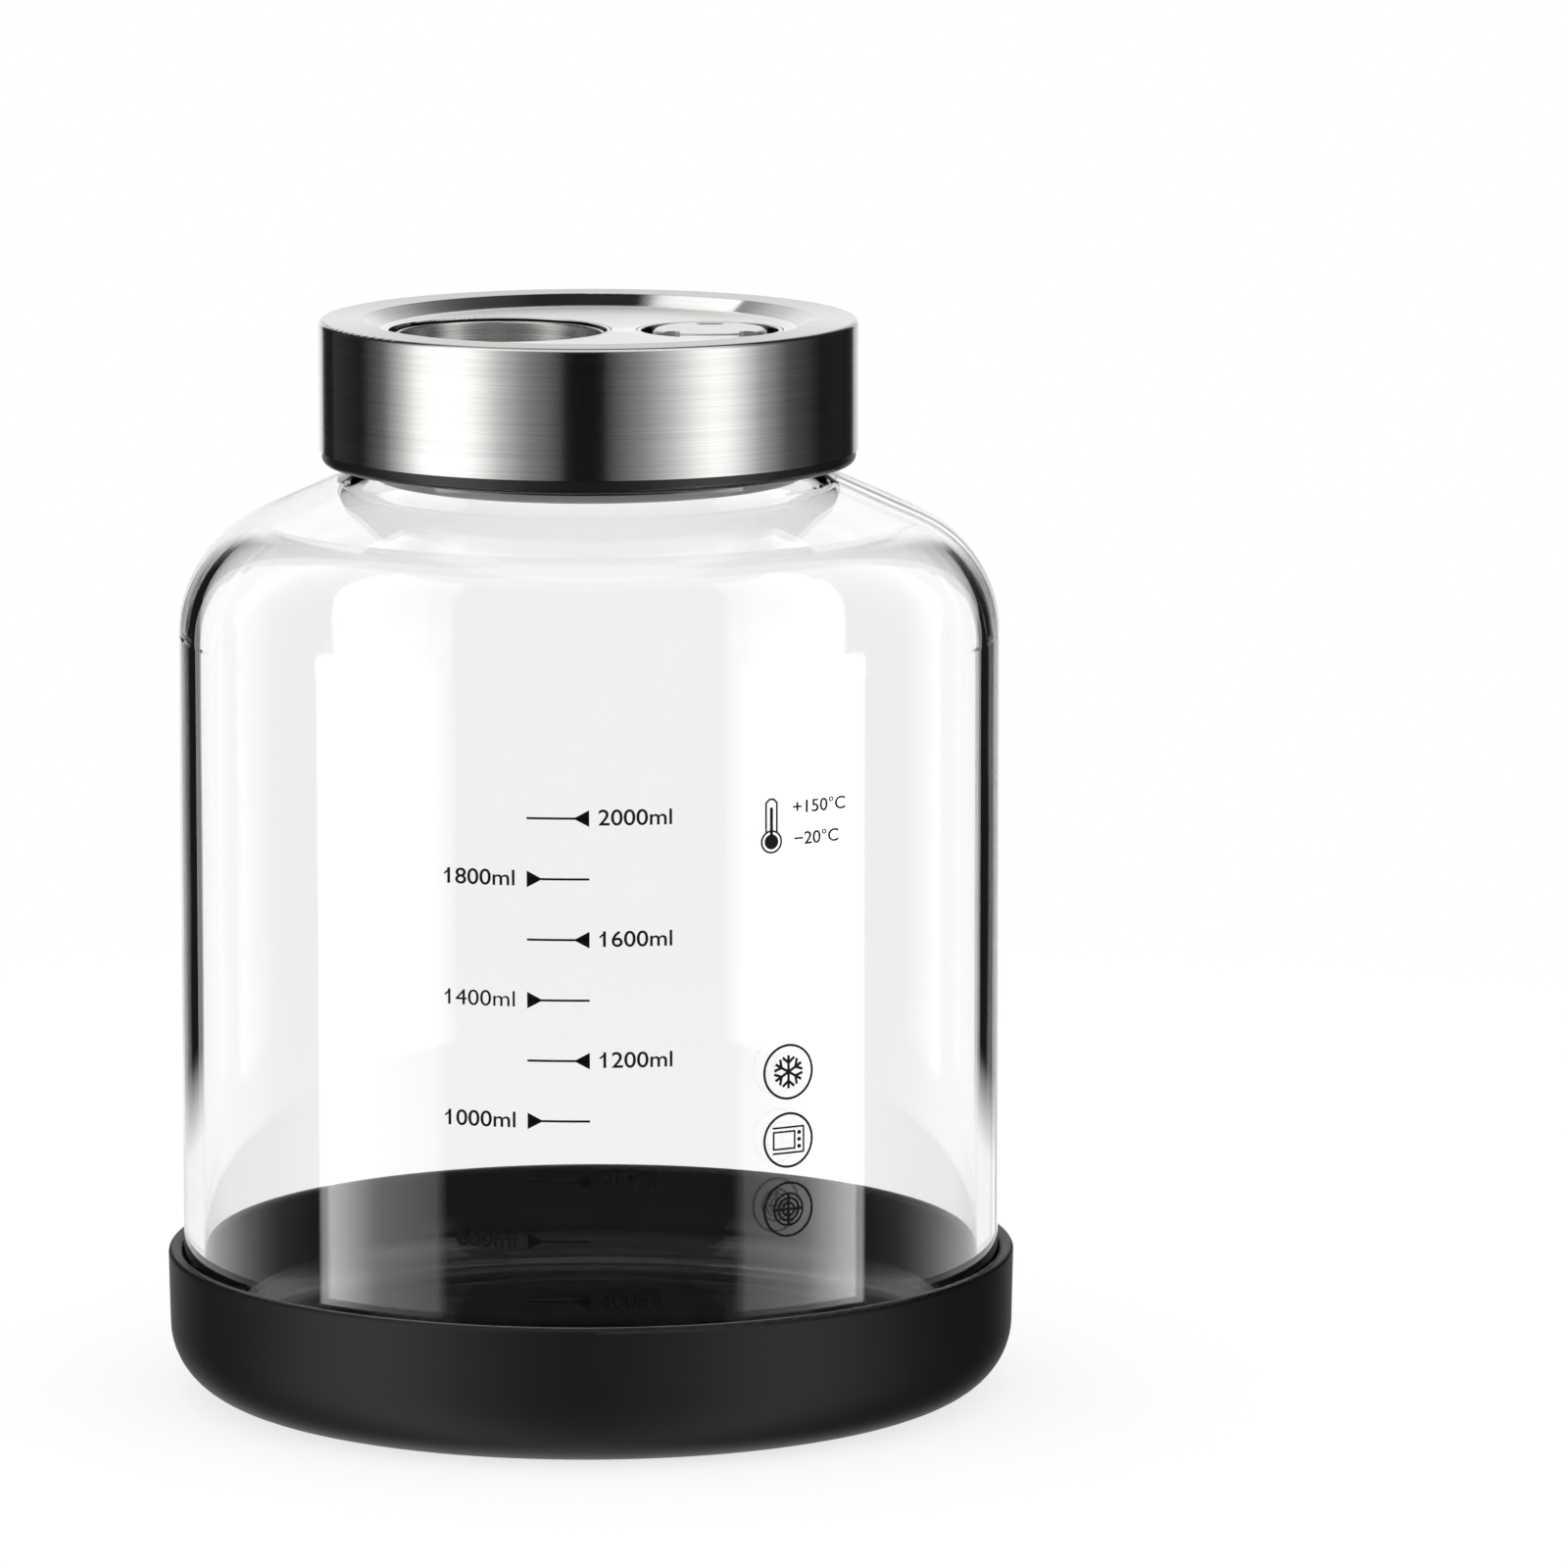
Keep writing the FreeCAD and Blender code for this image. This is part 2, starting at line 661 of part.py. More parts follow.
def make_inner_cover():
    """Plate that closes the plug from below, with two grilles and four screw recesses."""
    bosses = around("0", boss_circle_r, 4, "dim.boss_angle")
    below = f"({inner_cover_z} - dim.overrun)"
    above = f"({spigot_z} + dim.overrun)"
    body = new_body("inner_cover")
    revolve(body, "plate", [
        ("0", inner_cover_z),
        (plug_r, inner_cover_z, "dim.inner_cover_round"),
        (plug_r, plug_z),
        (spigot_r, plug_z),
        (spigot_r, spigot_z),
        (spigot_bore_r, spigot_z),
        (spigot_bore_r, plug_z),
        ("0", plug_z),
    ])
    for name, x in (("pump_grille", pump_x), ("vent_grille", vent_x)):
        holes = [(x, "0")] + around(x, "dim.grille_circle / 2", 6)
        round_holes(body, name, above, below, [(cx, cy, "dim.grille_hole / 2") for cx, cy in holes])
    round_holes(body, "screw_holes", above, below,
                [(x, y, "dim.screw_diameter / 2 + dim.screw_fit") for x, y in bosses])
    heads = new_sketch(body, "head_circles", "XY_Plane", inner_cover_z)
    draw_circles(heads, [(x, y, "dim.screw_head_diameter / 2 + dim.screw_fit") for x, y in bosses])
    extrude(body, "head_recesses", "Pocket", heads, "dim.screw_head_height", reverse=True)
    return body


def make_ring_seal():
    """Silicone ring between the plug's bore and the inner cover's spigot."""
    body = new_body("ring_seal")
    outer = f"({plug_bore_r} - dim.spigot_fit)"
    inner = f"({plug_bore_r} - dim.ring_seal_width)"
    revolve(body, "ring", [
        (inner, plug_z),
        (outer, plug_z),
        (outer, spigot_z),
        (inner, spigot_z),
    ])
    return body


def make_cover_screws():
    """Four screws that hold the inner cover to the core's bosses."""
    places = around("0", boss_circle_r, 4, "dim.boss_angle")
    head_top = f"({inner_cover_z} + dim.screw_head_height)"
    body = new_body("cover_screws")
    body.AllowCompound = True
    round_pads(body, "heads", inner_cover_z, head_top,
               [(x, y, "dim.screw_head_diameter / 2") for x, y in places])
    round_pads(body, "shanks", head_top, f"({head_top} + dim.screw_length)",
               [(x, y, "dim.screw_diameter / 2") for x, y in places])
    return body


def make_pump_bezel():
    """Guide ring of the pump button, with an arc notch on its left side."""
    body = new_body("pump_bezel", pump_x)
    revolve(body, "ring", [
        (pump_bezel_bore_r, pump_bezel_z),
        (pump_bezel_r, pump_bezel_z),
        (pump_bezel_r, deck_z, "dim.bezel_round"),
        (pump_bezel_bore_r, deck_z, "dim.bezel_round"),
    ])
    wedge = new_sketch(body, "notch_outline", "XY_Plane", deck_z)
    reach = f"(2 * {pump_bezel_r})"
    draw_outline(wedge, [
        ("0", "0"),
        (f"{reach} * cos(dim.notch_start)", f"{reach} * sin(dim.notch_start)"),
        (f"{reach} * cos(dim.notch_end)", f"{reach} * sin(dim.notch_end)"),
    ])
    extrude(body, "notch", "Pocket", wedge, "dim.notch_depth")
    return body


def make_pump_button():
    """Dished steel cup that is pressed with the fingers."""
    bore = f"({button_r} - dim.button_sheet)"
    body = new_body("pump_button", pump_x)
    revolve(body, "dish", [
        ("0", piston_z),
        (button_r, piston_z, "dim.button_corner"),
        (button_r, button_z, "dim.button_sheet * 2 / 5"),
        (bore, button_z, "dim.button_sheet * 2 / 5"),
        (bore, button_floor_z, "dim.button_corner - dim.button_sheet"),
        ("0", button_floor_z),
    ])
    return body


def make_pump_piston():
    """Piston under the dish: stop flange, seal groove, shoe and a cavity for the spring."""
    flange_r = f"({barrel_bore_r} - dim.piston_play)"
    groove_r = f"({flange_r} - dim.groove_depth)"
    body = new_body("pump_piston", pump_x)
    revolve(body, "piston", [
        ("0", piston_roof_z),
        (piston_cavity_r, piston_roof_z),
        (piston_cavity_r, piston_low_z),
        (flange_r, piston_low_z),
        (flange_r, shoe_z),
        (groove_r, shoe_z),
        (groove_r, groove_z),
        (flange_r, groove_z),
        (flange_r, piston_z),
        ("0", piston_z),
    ])
    return body


def make_piston_seal():
    """Cup seal in the piston's groove, its lip turned up to hold the outer air."""
    seal_bore_r = f"({barrel_bore_r} - dim.piston_play - dim.groove_depth + dim.seal_fit)"
    seal_r = f"({barrel_bore_r} - dim.seal_play)"
    low = f"({shoe_z} + dim.seal_fit)"
    high = f"({groove_z} - dim.seal_fit)"
    body = new_body("piston_seal", pump_x)
    revolve(body, "cup_ring", [
        (seal_bore_r, low),
        (f"{seal_r} - dim.seal_fit", low),
        (seal_r, high),
        (f"{seal_r} - dim.seal_lip", high),
        (f"{seal_r} - dim.seal_lip", f"{low} + dim.seal_web"),
        (seal_bore_r, f"{low} + dim.seal_web"),
    ])
    return body


def make_intake_valve():
    """Umbrella valve on the barrel floor, its bulb snapped through the stem hole."""
    tail_z = f"({barrel_low_z} - dim.umbrella_fit)"
    body = new_body("intake_valve", pump_x)
    revolve(body, "umbrella", [
        ("0", f"{tail_z} - dim.umbrella_tail"),
        ("dim.umbrella_stem / 2", f"{tail_z} - dim.umbrella_tail"),
        ("dim.umbrella_bulb / 2", tail_z),
        ("dim.umbrella_stem / 2", tail_z),
        ("dim.umbrella_stem / 2", barrel_floor_z),
        ("dim.umbrella_diameter / 2", barrel_floor_z),
        ("dim.umbrella_diameter / 2", f"{barrel_floor_z} + dim.umbrella_edge"),
        ("dim.umbrella_crown_diameter / 2", f"{barrel_floor_z} + dim.umbrella_crown"),
        ("0", f"{barrel_floor_z} + dim.umbrella_crown"),
    ])
    return body


def make_vent_bezel():
    """Bright ring round the vent's well."""
    body = new_body("vent_bezel", vent_x)
    low = f"({deck_z} - dim.vent_bezel_height)"
    revolve(body, "ring", [
        (well_bore_r, low),
        (vent_bezel_r, low),
        (vent_bezel_r, deck_z, "dim.bezel_round"),
        (well_bore_r, deck_z, "dim.bezel_round"),
    ])
    return body


def make_vent_knob():
    """Turning knob with a pointer recess, two finger notches and two ramped windows in its skirt."""
    body = new_body("vent_knob", vent_x)
    flange_z = f"({well_floor_z} + dim.knob_flange_height)"
    revolve(body, "knob", [
        ("0", spring_pocket_z),
        (spring_pocket_r, spring_pocket_z),
        (spring_pocket_r, knob_under_z),
        (knob_skirt_bore_r, knob_under_z),
        (knob_skirt_bore_r, well_floor_z),
        (knob_flange_r, well_floor_z),
        (knob_flange_r, flange_z),
        (knob_skirt_r, flange_z),
        (knob_skirt_r, knob_under_z),
        (knob_r, knob_under_z),
        (knob_r, knob_z, "dim.knob_round"),
        ("0", knob_z),
    ])
    far = f"({knob_r} - dim.knob_round - dim.pointer_rim)"
    near = f"({far} - dim.pointer_length)"
    pointer = new_sketch(body, "pointer_outline", "XY_Plane", knob_z)
    draw_outline(pointer, [
        ("-dim.pointer_width / 2", near, "dim.pointer_round"),
        ("dim.pointer_width / 2", near, "dim.pointer_round"),
        ("dim.pointer_width / 2", far, "dim.pointer_round"),
        ("-dim.pointer_width / 2", far, "dim.pointer_round"),
    ])
    extrude(body, "pointer_recess", "Pocket", pointer, "dim.pointer_depth")
    beyond = f"({knob_r} + dim.overrun)"
    for name, side in (("left_grip", "-"), ("right_grip", "")):
        grip = new_sketch(body, f"{name}_outline", "XY_Plane", knob_z)
        draw_outline(grip, [
            (f"{side}dim.grip_corner", "-dim.grip_corner", "dim.grip_round"),
            (f"{side}{beyond}", "-dim.grip_corner"),
            (f"{side}{beyond}", f"-{beyond}"),
            (f"{side}dim.grip_corner", f"-{beyond}"),
        ])
        extrude(body, name, "Pocket", grip, "dim.grip_depth")
    # The window's lower edge is the ramp that lifts the poppet's lug over a quarter turn.
    chord = f"(sin({QUARTER_TURN / 2}) * ({knob_skirt_bore_r} + dim.knob_skirt_wall / 2))"
    half = f"(sin({QUARTER_TURN / 2}) * {knob_skirt_r} + dim.lug_diameter)"
    ramp_mid = f"({lug_z} - dim.ramp_play + dim.airlock_lift / 2)"
    ramp_rise = f"(dim.airlock_lift / 2 * {half} / {chord})"
    window = new_sketch(body, "window_outline", "YZ_Plane")
    turn = FreeCAD.Rotation(FreeCAD.Vector(0, 1, 0), -QUARTER_TURN / 2)
    window.AttachmentOffset = FreeCAD.Placement(FreeCAD.Vector(), turn)
    draw_outline(window, [
        (f"-{half}", f"{ramp_mid} + {ramp_rise}"),
        (half, f"{ramp_mid} - {ramp_rise}"),
        (half, window_z),
        (f"-{half}", window_z),
    ])
    cut = extrude(body, "window", "Pocket", window, knob_flange_r, reverse=True)
    polar_copies(body, "windows", cut, 2)
    return body


def make_knob_retainer():
    """Ring pressed into the well over the knob's flange."""
    low = f"({well_floor_z} + dim.knob_flange_height + dim.retainer_play)"
    body = new_body("knob_retainer", vent_x)
    revolve(body, "ring", [
        (f"{knob_skirt_r} + dim.retainer_gap", low),
        (f"{well_bore_r} - dim.retainer_fit", low),
        (f"{well_bore_r} - dim.retainer_fit", f"{low} + dim.retainer_thickness"),
        (f"{knob_skirt_r} + dim.retainer_gap", f"{low} + dim.retainer_thickness"),
    ])
    return body


def make_airlock_seat():
    """Silicone seat ring on the well's floor."""
    body = new_body("airlock_seat", vent_x)
    revolve(body, "ring", [
        (seat_bore_r, well_floor_z),
        (seat_r, well_floor_z),
        (seat_r, poppet_z),
        (seat_bore_r, poppet_z),
    ])
    return body


def make_airlock_poppet():
    """Winged valve: disc on the seat, vanes in the vent hole, two lugs in the knob's windows."""
    disc_r = f"({seat_r} - dim.poppet_margin)"
    disc_z = f"({poppet_z} + dim.poppet_disc)"
    body = new_body("airlock_poppet", vent_x)
    revolve(body, "valve", [
        ("0", poppet_z),
        (disc_r, poppet_z),
        (disc_r, disc_z),
        (hub_r, disc_z),
        (hub_r, hub_z),
        ("dim.poppet_pin / 2", hub_z),
        ("dim.poppet_pin / 2", f"{hub_z} + dim.poppet_pin_height"),
        ("0", f"{hub_z} + dim.poppet_pin_height"),
    ])
    cross = new_sketch(body, "vane_outline", "XY_Plane", poppet_z)
    thick = "(dim.vane_thickness / 2)"
    long_r = f"({key_r} - dim.vane_play)"
    short_r = f"({vent_bore_r} - dim.vane_play)"
    draw_outline(cross, [
        (long_r, f"-{thick}"), (long_r, thick), (thick, thick), (thick, short_r),
        (f"-{thick}", short_r), (f"-{thick}", thick), (f"-{long_r}", thick), (f"-{long_r}", f"-{thick}"),
        (f"-{thick}", f"-{thick}"), (f"-{thick}", f"-{short_r}"), (thick, f"-{short_r}"), (thick, f"-{thick}"),
    ])
    extrude(body, "vanes", "Pad", cross, "dim.seat_thickness + dim.well_floor + dim.vane_drop", reverse=True)
    lugs = new_sketch(body, "lug_circle", "YZ_Plane")
    draw_circles(lugs, [("0", f"{lug_z} + dim.lug_diameter / 2", "dim.lug_diameter / 2")])
    extrude(body, "lugs", "Pad", lugs, f"2 * ({knob_skirt_r} - dim.lug_inset)", both_ways=True)
    return body


def self_gap(wire, coil_r, turns, low, high):
    """Least gap between neighbouring turns of a coil, measured on points along its wire."""
    height = number(high) - number(low) - number(wire) - 2 * number("dim.spring_end_gap")
    radius = number(coil_r)
    rounds = number(turns)
    steps_per_turn = 48
    points = []
    for step in range(int(rounds * steps_per_turn) + 1):
        share = step / (rounds * steps_per_turn)
        angle = 2 * math.pi * step / steps_per_turn
        points.append(FreeCAD.Vector(radius * math.cos(angle), radius * math.sin(angle), height * share))
    least = min(
        first.distanceToPoint(second)
        for index, first in enumerate(points)
        for second in points[index + steps_per_turn // 2:]
    )
    return least - number(wire)


sub_parts = [
    make_base_cup(),
    make_glass_jar(),
    make_lid_cover(),
    make_lid_core(),
    make_pump_barrel(),
    make_vent_well(),
    make_lid_gasket(),
    make_inner_cover(),
    make_ring_seal(),
    make_cover_screws(),
    make_pump_bezel(),
    make_pump_button(),
    make_pump_piston(),
    make_piston_seal(),
    make_intake_valve(),
    make_vent_bezel(),
    make_vent_knob(),
    make_knob_retainer(),
    make_airlock_seat(),
    make_airlock_poppet(),
    coil("pump_spring", pump_x, barrel_floor_z, piston_roof_z,
         "dim.pump_wire", pump_coil_r, "dim.pump_coil_turns"),
    coil("airlock_spring", vent_x, hub_z, spring_pocket_z,
         "dim.airlock_wire", airlock_coil_r, "dim.airlock_coil_turns"),
]
doc.recompute()

# Nothing is written unless every feature built, every cut removed material and every shape is sound

for item in doc.Objects:
    if "Invalid" in item.State or "Error" in item.State:
        raise RuntimeError(f"{item.Label} did not build: {item.State}")
    if item.TypeId == "PartDesign::Pocket":
        if item.Shape.Volume >= item.BaseFeature.Shape.Volume:
            raise RuntimeError(f"{item.Label} cuts nothing")
for part in sub_parts:
    if part.Shape.isNull() or not part.Shape.isValid():
        raise RuntimeError(f"{part.Label} has no sound shape")

os.makedirs("parts", exist_ok=True)
for part in sub_parts:
    part.Shape.exportStep(f"parts/{part.Label}.step")
    box = part.Shape.BoundBox
    print(part.Label, len(part.Shape.Solids), "solid(s)", round(part.Shape.Volume, 1), "mm3",
          "z", round(box.ZMin, 2), "to", round(box.ZMax, 2))
print("pump axis x", round(number(pump_x), 3), "vent axis x", round(number(vent_x), 3))
print("pump spring gap", round(self_gap("dim.pump_wire", pump_coil_r, "dim.pump_coil_turns",
                                        barrel_floor_z, piston_roof_z), 2))
print("airlock spring gap", round(self_gap("dim.airlock_wire", airlock_coil_r, "dim.airlock_coil_turns",
                                           hub_z, spring_pocket_z), 2))
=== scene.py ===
# %% [markdown]
# # A fermentation jar with a pump lid and an airlock
#
# The jar is a wide glass body in a black silicone cup, closed by a brushed steel lid. A press pump
# and a quarter-turn vent sit in the lid. The solids come in as a frame: they are already in place and
# in metres. They could be modelled again here, but two models would then have to agree, so they stay
# as they are. This script gives them their finishes, adds the print on the glass and the small parts
# that rigid solids can't show, and sets up the camera and the light.

# %% [markdown]
# ## The frame
#
# Blender counts in metres. The jar's own sizes are written in millimetres, as on a drawing, and turned
# to metres where they are used. Lights and floor are written in metres.

import math

import bmesh
import bpy
from mathutils import Matrix, Vector


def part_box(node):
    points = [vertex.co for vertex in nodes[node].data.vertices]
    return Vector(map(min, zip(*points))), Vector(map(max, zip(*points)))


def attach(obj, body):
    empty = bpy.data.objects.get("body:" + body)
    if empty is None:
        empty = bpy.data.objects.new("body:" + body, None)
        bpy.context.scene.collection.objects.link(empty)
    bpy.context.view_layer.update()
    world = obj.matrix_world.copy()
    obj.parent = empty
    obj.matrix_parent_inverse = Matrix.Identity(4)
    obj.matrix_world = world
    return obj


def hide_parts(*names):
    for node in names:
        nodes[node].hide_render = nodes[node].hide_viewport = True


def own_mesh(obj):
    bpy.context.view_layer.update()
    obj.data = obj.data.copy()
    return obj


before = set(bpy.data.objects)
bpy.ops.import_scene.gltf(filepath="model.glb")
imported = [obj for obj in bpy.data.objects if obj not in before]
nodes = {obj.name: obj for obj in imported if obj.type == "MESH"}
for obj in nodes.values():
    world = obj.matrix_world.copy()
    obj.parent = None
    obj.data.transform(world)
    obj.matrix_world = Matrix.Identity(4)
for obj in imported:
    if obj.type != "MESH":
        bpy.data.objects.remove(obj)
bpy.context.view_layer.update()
MM = 0.001

# %% [markdown]
# ## Helpers for materials
#
# A colour is written as it would be picked on a screen, in sRGB. Shaders count in linear light, so
# one function converts it. A second function adds any node with its settings, values and links, and a
# third starts a finish from plain values on its shader. Each material then reads as a short recipe.

# %% Colour, node and finish
def linear(hex_code):
    """An sRGB hex colour as linear red, green, blue and alpha."""
    shares = [int(hex_code[i:i + 2], 16) / 255 for i in (1, 3, 5)]
    return [s / 12.92 if s <= 0.04045 else ((s + 0.055) / 1.055) ** 2.4 for s in shares] + [1.0]


def add_node(tree, kind, settings=(), values=(), links=(), stops=()):
    """A shader node with its settings, fixed values, what feeds its inputs, and a ramp's stops."""
    node = tree.nodes.new("ShaderNode" + kind)
    for name, setting in dict(settings).items():
        setattr(node, name, setting)
    for name, value in dict(values).items():
        node.inputs[name].default_value = value
    for name, source in dict(links).items():
        tree.links.new(source, node.inputs[name])
    if stops:
        marks = node.color_ramp.elements
        while len(marks) < len(stops):
            marks.new(0.5)
        for mark, (position, colour) in zip(marks, stops):
            mark.position = position
            mark.color = colour
    return node


def new_finish(name, values):
    """A material whose Principled shader has these plain values, with its tree and shader."""
    material = bpy.data.materials.new(name)
    material.use_nodes = True
    tree = material.node_tree
    shader = tree.nodes["Principled BSDF"]
    for socket, value in values.items():
        shader.inputs[socket].default_value = value
    return material, tree, shader


print("white is", linear("#ffffff"))

# %% [markdown]
# ## Glass
#
# The body is borosilicate glass, blown into a mould and fire-polished: clear, with a very faint slow
# ripple left by the mould. Glass is often faked with a see-through shader. This solid has a real
# inner and outer wall, so full transmission bends the light as the real wall does and makes the dark
# and bright lines at the edges by itself. Borosilicate bends light a little less than window glass,
# so its IOR is 1.47. The ripple is only a bump.

# %% Borosilicate glass
def per_mm(size):
    """The texture scale at which one cell of a pattern is this many millimetres."""
    return 1 / (size * MM)


# Gives the eye clear walls with sharp mirror images and dark lines along the edges, and no colour.
borosilicate, tree, shader = new_finish("Borosilicate glass, fire-polished", {
    "Base Color": linear("#ffffff"),
    "Transmission Weight": 1.0,
    "IOR": 1.47,
    "Roughness": 0.0,
})
RIPPLE = 38
RIPPLE_DEPTH = 0.6
place = add_node(tree, "TexCoord").outputs["Object"]
ripple = add_node(tree, "TexNoise", values={"Scale": per_mm(RIPPLE), "Detail": 1.0},
                  links={"Vector": place}).outputs["Fac"]
bump = add_node(tree, "Bump", values={"Strength": 0.06, "Distance": RIPPLE_DEPTH * MM},
                links={"Height": ripple})
tree.links.new(bump.outputs["Normal"], shader.inputs["Normal"])
print(borosilicate.name)

# %% [markdown]
# ## Brushing
#
# The lid's cover and the pump's cup are stainless steel, brushed on a lathe, so the scratches run
# round an axis. A scratch spreads a reflection across itself: on the band every light becomes a soft
# vertical column, on a flat ring a ray from the centre. Thousands of modelled scratches would do it
# too, but the shader's anisotropy does it alone if it is told which way the brushing runs. So a
# tangent is worked out from the surface and the axis. The streaks come from a noise that changes fast
# with height and with distance from the axis, and slowly on the way round. Real scratches are a few
# hundredths of a millimetre wide. They are drawn 0.3 mm wide so that they show.
#
# The solids are made of flat triangles, and on the small rounding of the lid's rim a mirror image
# would jump from one to the next. There the normal is worked out from the rounding itself.

# %% Brushing round an axis
STREAK = 0.3
STREAK_RUN = 60
BRUSH_DEPTH = 0.02


def rim_normal(tree, flat, reach, height, rim):
    """The exact normal over an outer edge, given by its radius, height and rounding in millimetres."""
    radius, top, rounding = (size * MM for size in rim)
    out = add_node(tree, "MapRange", values={"From Min": radius - rounding, "From Max": radius},
                   links={"Value": reach}).outputs["Result"]
    up = add_node(tree, "MapRange", values={"From Min": top - rounding, "From Max": top},
                  links={"Value": height}).outputs["Result"]
    spoke = add_node(tree, "VectorMath", {"operation": "NORMALIZE"}, links={0: flat}).outputs["Vector"]
    sideways = add_node(tree, "VectorMath", {"operation": "SCALE"},
                        links={0: spoke, "Scale": out}).outputs["Vector"]
    upright = add_node(tree, "CombineXYZ", links={"Z": up}).outputs["Vector"]
    ideal = add_node(tree, "VectorMath", {"operation": "ADD"},
                     links={0: sideways, 1: upright}).outputs["Vector"]
    on_rim = add_node(tree, "Math", {"operation": "GREATER_THAN"}, {1: radius - 7 * rounding},
                      {0: reach}).outputs["Value"]
    facing = add_node(tree, "NewGeometry").outputs["Normal"]
    chosen = add_node(tree, "Mix", {"data_type": "VECTOR"},
                      links={0: on_rim, 4: facing, 5: ideal}).outputs[1]
    return add_node(tree, "VectorMath", {"operation": "NORMALIZE"}, links={0: chosen}).outputs["Vector"]


def brush_round(tree, shader, axis, rim=None):
    """Brushes a metal round a vertical axis. Gives the streaks, the distance from it and the height."""
    place = add_node(tree, "TexCoord").outputs["Object"]
    arm = add_node(tree, "VectorMath", {"operation": "SUBTRACT"}, {1: (*axis, 0)},
                   {0: place}).outputs["Vector"]
    flat = add_node(tree, "VectorMath", {"operation": "MULTIPLY"}, {1: (1, 1, 0)},
                    {0: arm}).outputs["Vector"]
    reach = add_node(tree, "VectorMath", {"operation": "LENGTH"}, links={0: flat}).outputs["Value"]
    height = add_node(tree, "SeparateXYZ", links={"Vector": place}).outputs["Z"]
    across = add_node(tree, "Math", {"operation": "ADD"}, links={0: reach, 1: height}).outputs["Value"]
    fine = add_node(tree, "Math", {"operation": "MULTIPLY"}, {1: STREAK_RUN / STREAK},
                    {0: across}).outputs["Value"]
    along = add_node(tree, "SeparateXYZ", links={"Vector": flat}).outputs
    grain = add_node(tree, "CombineXYZ",
                     links={"X": along["X"], "Y": along["Y"], "Z": fine}).outputs["Vector"]
    streaks = add_node(tree, "TexNoise", values={"Scale": per_mm(STREAK_RUN), "Detail": 3.0},
                       links={"Vector": grain}).outputs["Fac"]
    if rim:
        facing = rim_normal(tree, flat, reach, height, rim)
    else:
        facing = add_node(tree, "NewGeometry").outputs["Normal"]
    around = add_node(tree, "VectorMath", {"operation": "CROSS_PRODUCT"}, {0: (0, 0, 1)},
                      {1: flat}).outputs["Vector"]
    scatter = add_node(tree, "VectorMath", {"operation": "CROSS_PRODUCT"},
                       links={0: facing, 1: around}).outputs["Vector"]
    tangent = add_node(tree, "VectorMath", {"operation": "NORMALIZE"},
                       links={0: scatter}).outputs["Vector"]
    tree.links.new(tangent, shader.inputs["Tangent"])
    bump = add_node(tree, "Bump", values={"Strength": 0.12, "Distance": BRUSH_DEPTH * MM},
                    links={"Height": streaks, "Normal": facing})
    tree.links.new(bump.outputs["Normal"], shader.inputs["Normal"])
    return streaks, reach, height


print(f"streaks {STREAK} mm wide")

# %% [markdown]
# ## The steel of the lid
#
# The cover is one drawn sheet of brushed steel. Its flat ring carries a darker tone, which is painted
# shade, and its sunk deck a paler tone, which is painted light; the band keeps the plain brushed tone.
# The slope between ring and deck is left almost bright by a lower roughness. The faces could be split
# into materials of their own. A solid's mesh isn't touched here, so the height and the distance from
# the axis tell them apart in one material.

# %% The steel of the lid
def two_tones(tree, pattern, dark, light):
    """A surface's colour, wandering between two sRGB tones over the middle range of a pattern."""
    share = add_node(tree, "MapRange", values={"From Min": 0.3, "From Max": 0.7},
                     links={"Value": pattern}).outputs["Result"]
    return add_node(tree, "Mix", {"data_type": "RGBA"}, {6: linear(dark), 7: linear(light)},
                    {0: share}).outputs[2]


# Gives the eye soft bright and dark columns on the band, with fine level streaks through them.
lid_steel, tree, shader = new_finish("Stainless steel, brushed round the lid", {
    "Metallic": 1.0,
    "Anisotropic": 0.9,
})
LID_RIM = (51, 205, 1)
RING_LEVEL = 204.8
SLOPE_EDGE = 42.9
DECK_EDGE = 39.4
streaks, reach, height = brush_round(tree, shader, (0, 0), LID_RIM)
on_ring = add_node(tree, "Math", {"operation": "GREATER_THAN"}, {1: RING_LEVEL * MM},
                   {0: height}).outputs["Value"]
inside = add_node(tree, "Math", {"operation": "LESS_THAN"}, {1: SLOPE_EDGE * MM},
                  {0: reach}).outputs["Value"]
on_deck = add_node(tree, "Math", {"operation": "LESS_THAN"}, {1: DECK_EDGE * MM},
                   {0: reach}).outputs["Value"]
on_slope = add_node(tree, "Math", {"operation": "SUBTRACT"},
                    links={0: inside, 1: on_deck}).outputs["Value"]
brushed = two_tones(tree, streaks, "#cdcdcb", "#dededc")
# The darker ring tone is painted shade, and the paler deck tone is painted light.
ring_painted_shade = two_tones(tree, streaks, "#babab8", "#cacac8")
deck_painted_light = two_tones(tree, streaks, "#efefed", "#f6f6f4")
outer = add_node(tree, "Mix", {"data_type": "RGBA"},
                 links={0: on_ring, 6: brushed, 7: ring_painted_shade}).outputs[2]
tone = add_node(tree, "Mix", {"data_type": "RGBA"}, links={0: on_deck, 6: outer, 7: deck_painted_light}).outputs[2]
tree.links.new(tone, shader.inputs["Base Color"])
BRIGHT_SLOPE = 0.09
scratched = add_node(tree, "MapRange", values={"To Min": 0.15, "To Max": 0.24},
                     links={"Value": streaks}).outputs["Result"]
gloss = add_node(tree, "Mix", {"data_type": "FLOAT"}, {3: BRIGHT_SLOPE},
                 {0: on_slope, 2: scratched}).outputs[0]
tree.links.new(gloss, shader.inputs["Roughness"])
print(lid_steel.name)

# %% [markdown]
# ## The steel of the pump's cup
#
# The dished cup under the fingers is the same steel. It could share the lid's finish, but then its
# brushing would run round the wrong axis, so it gets one round the pump's own. Fingers wear it, so it
# is rougher than the lid.

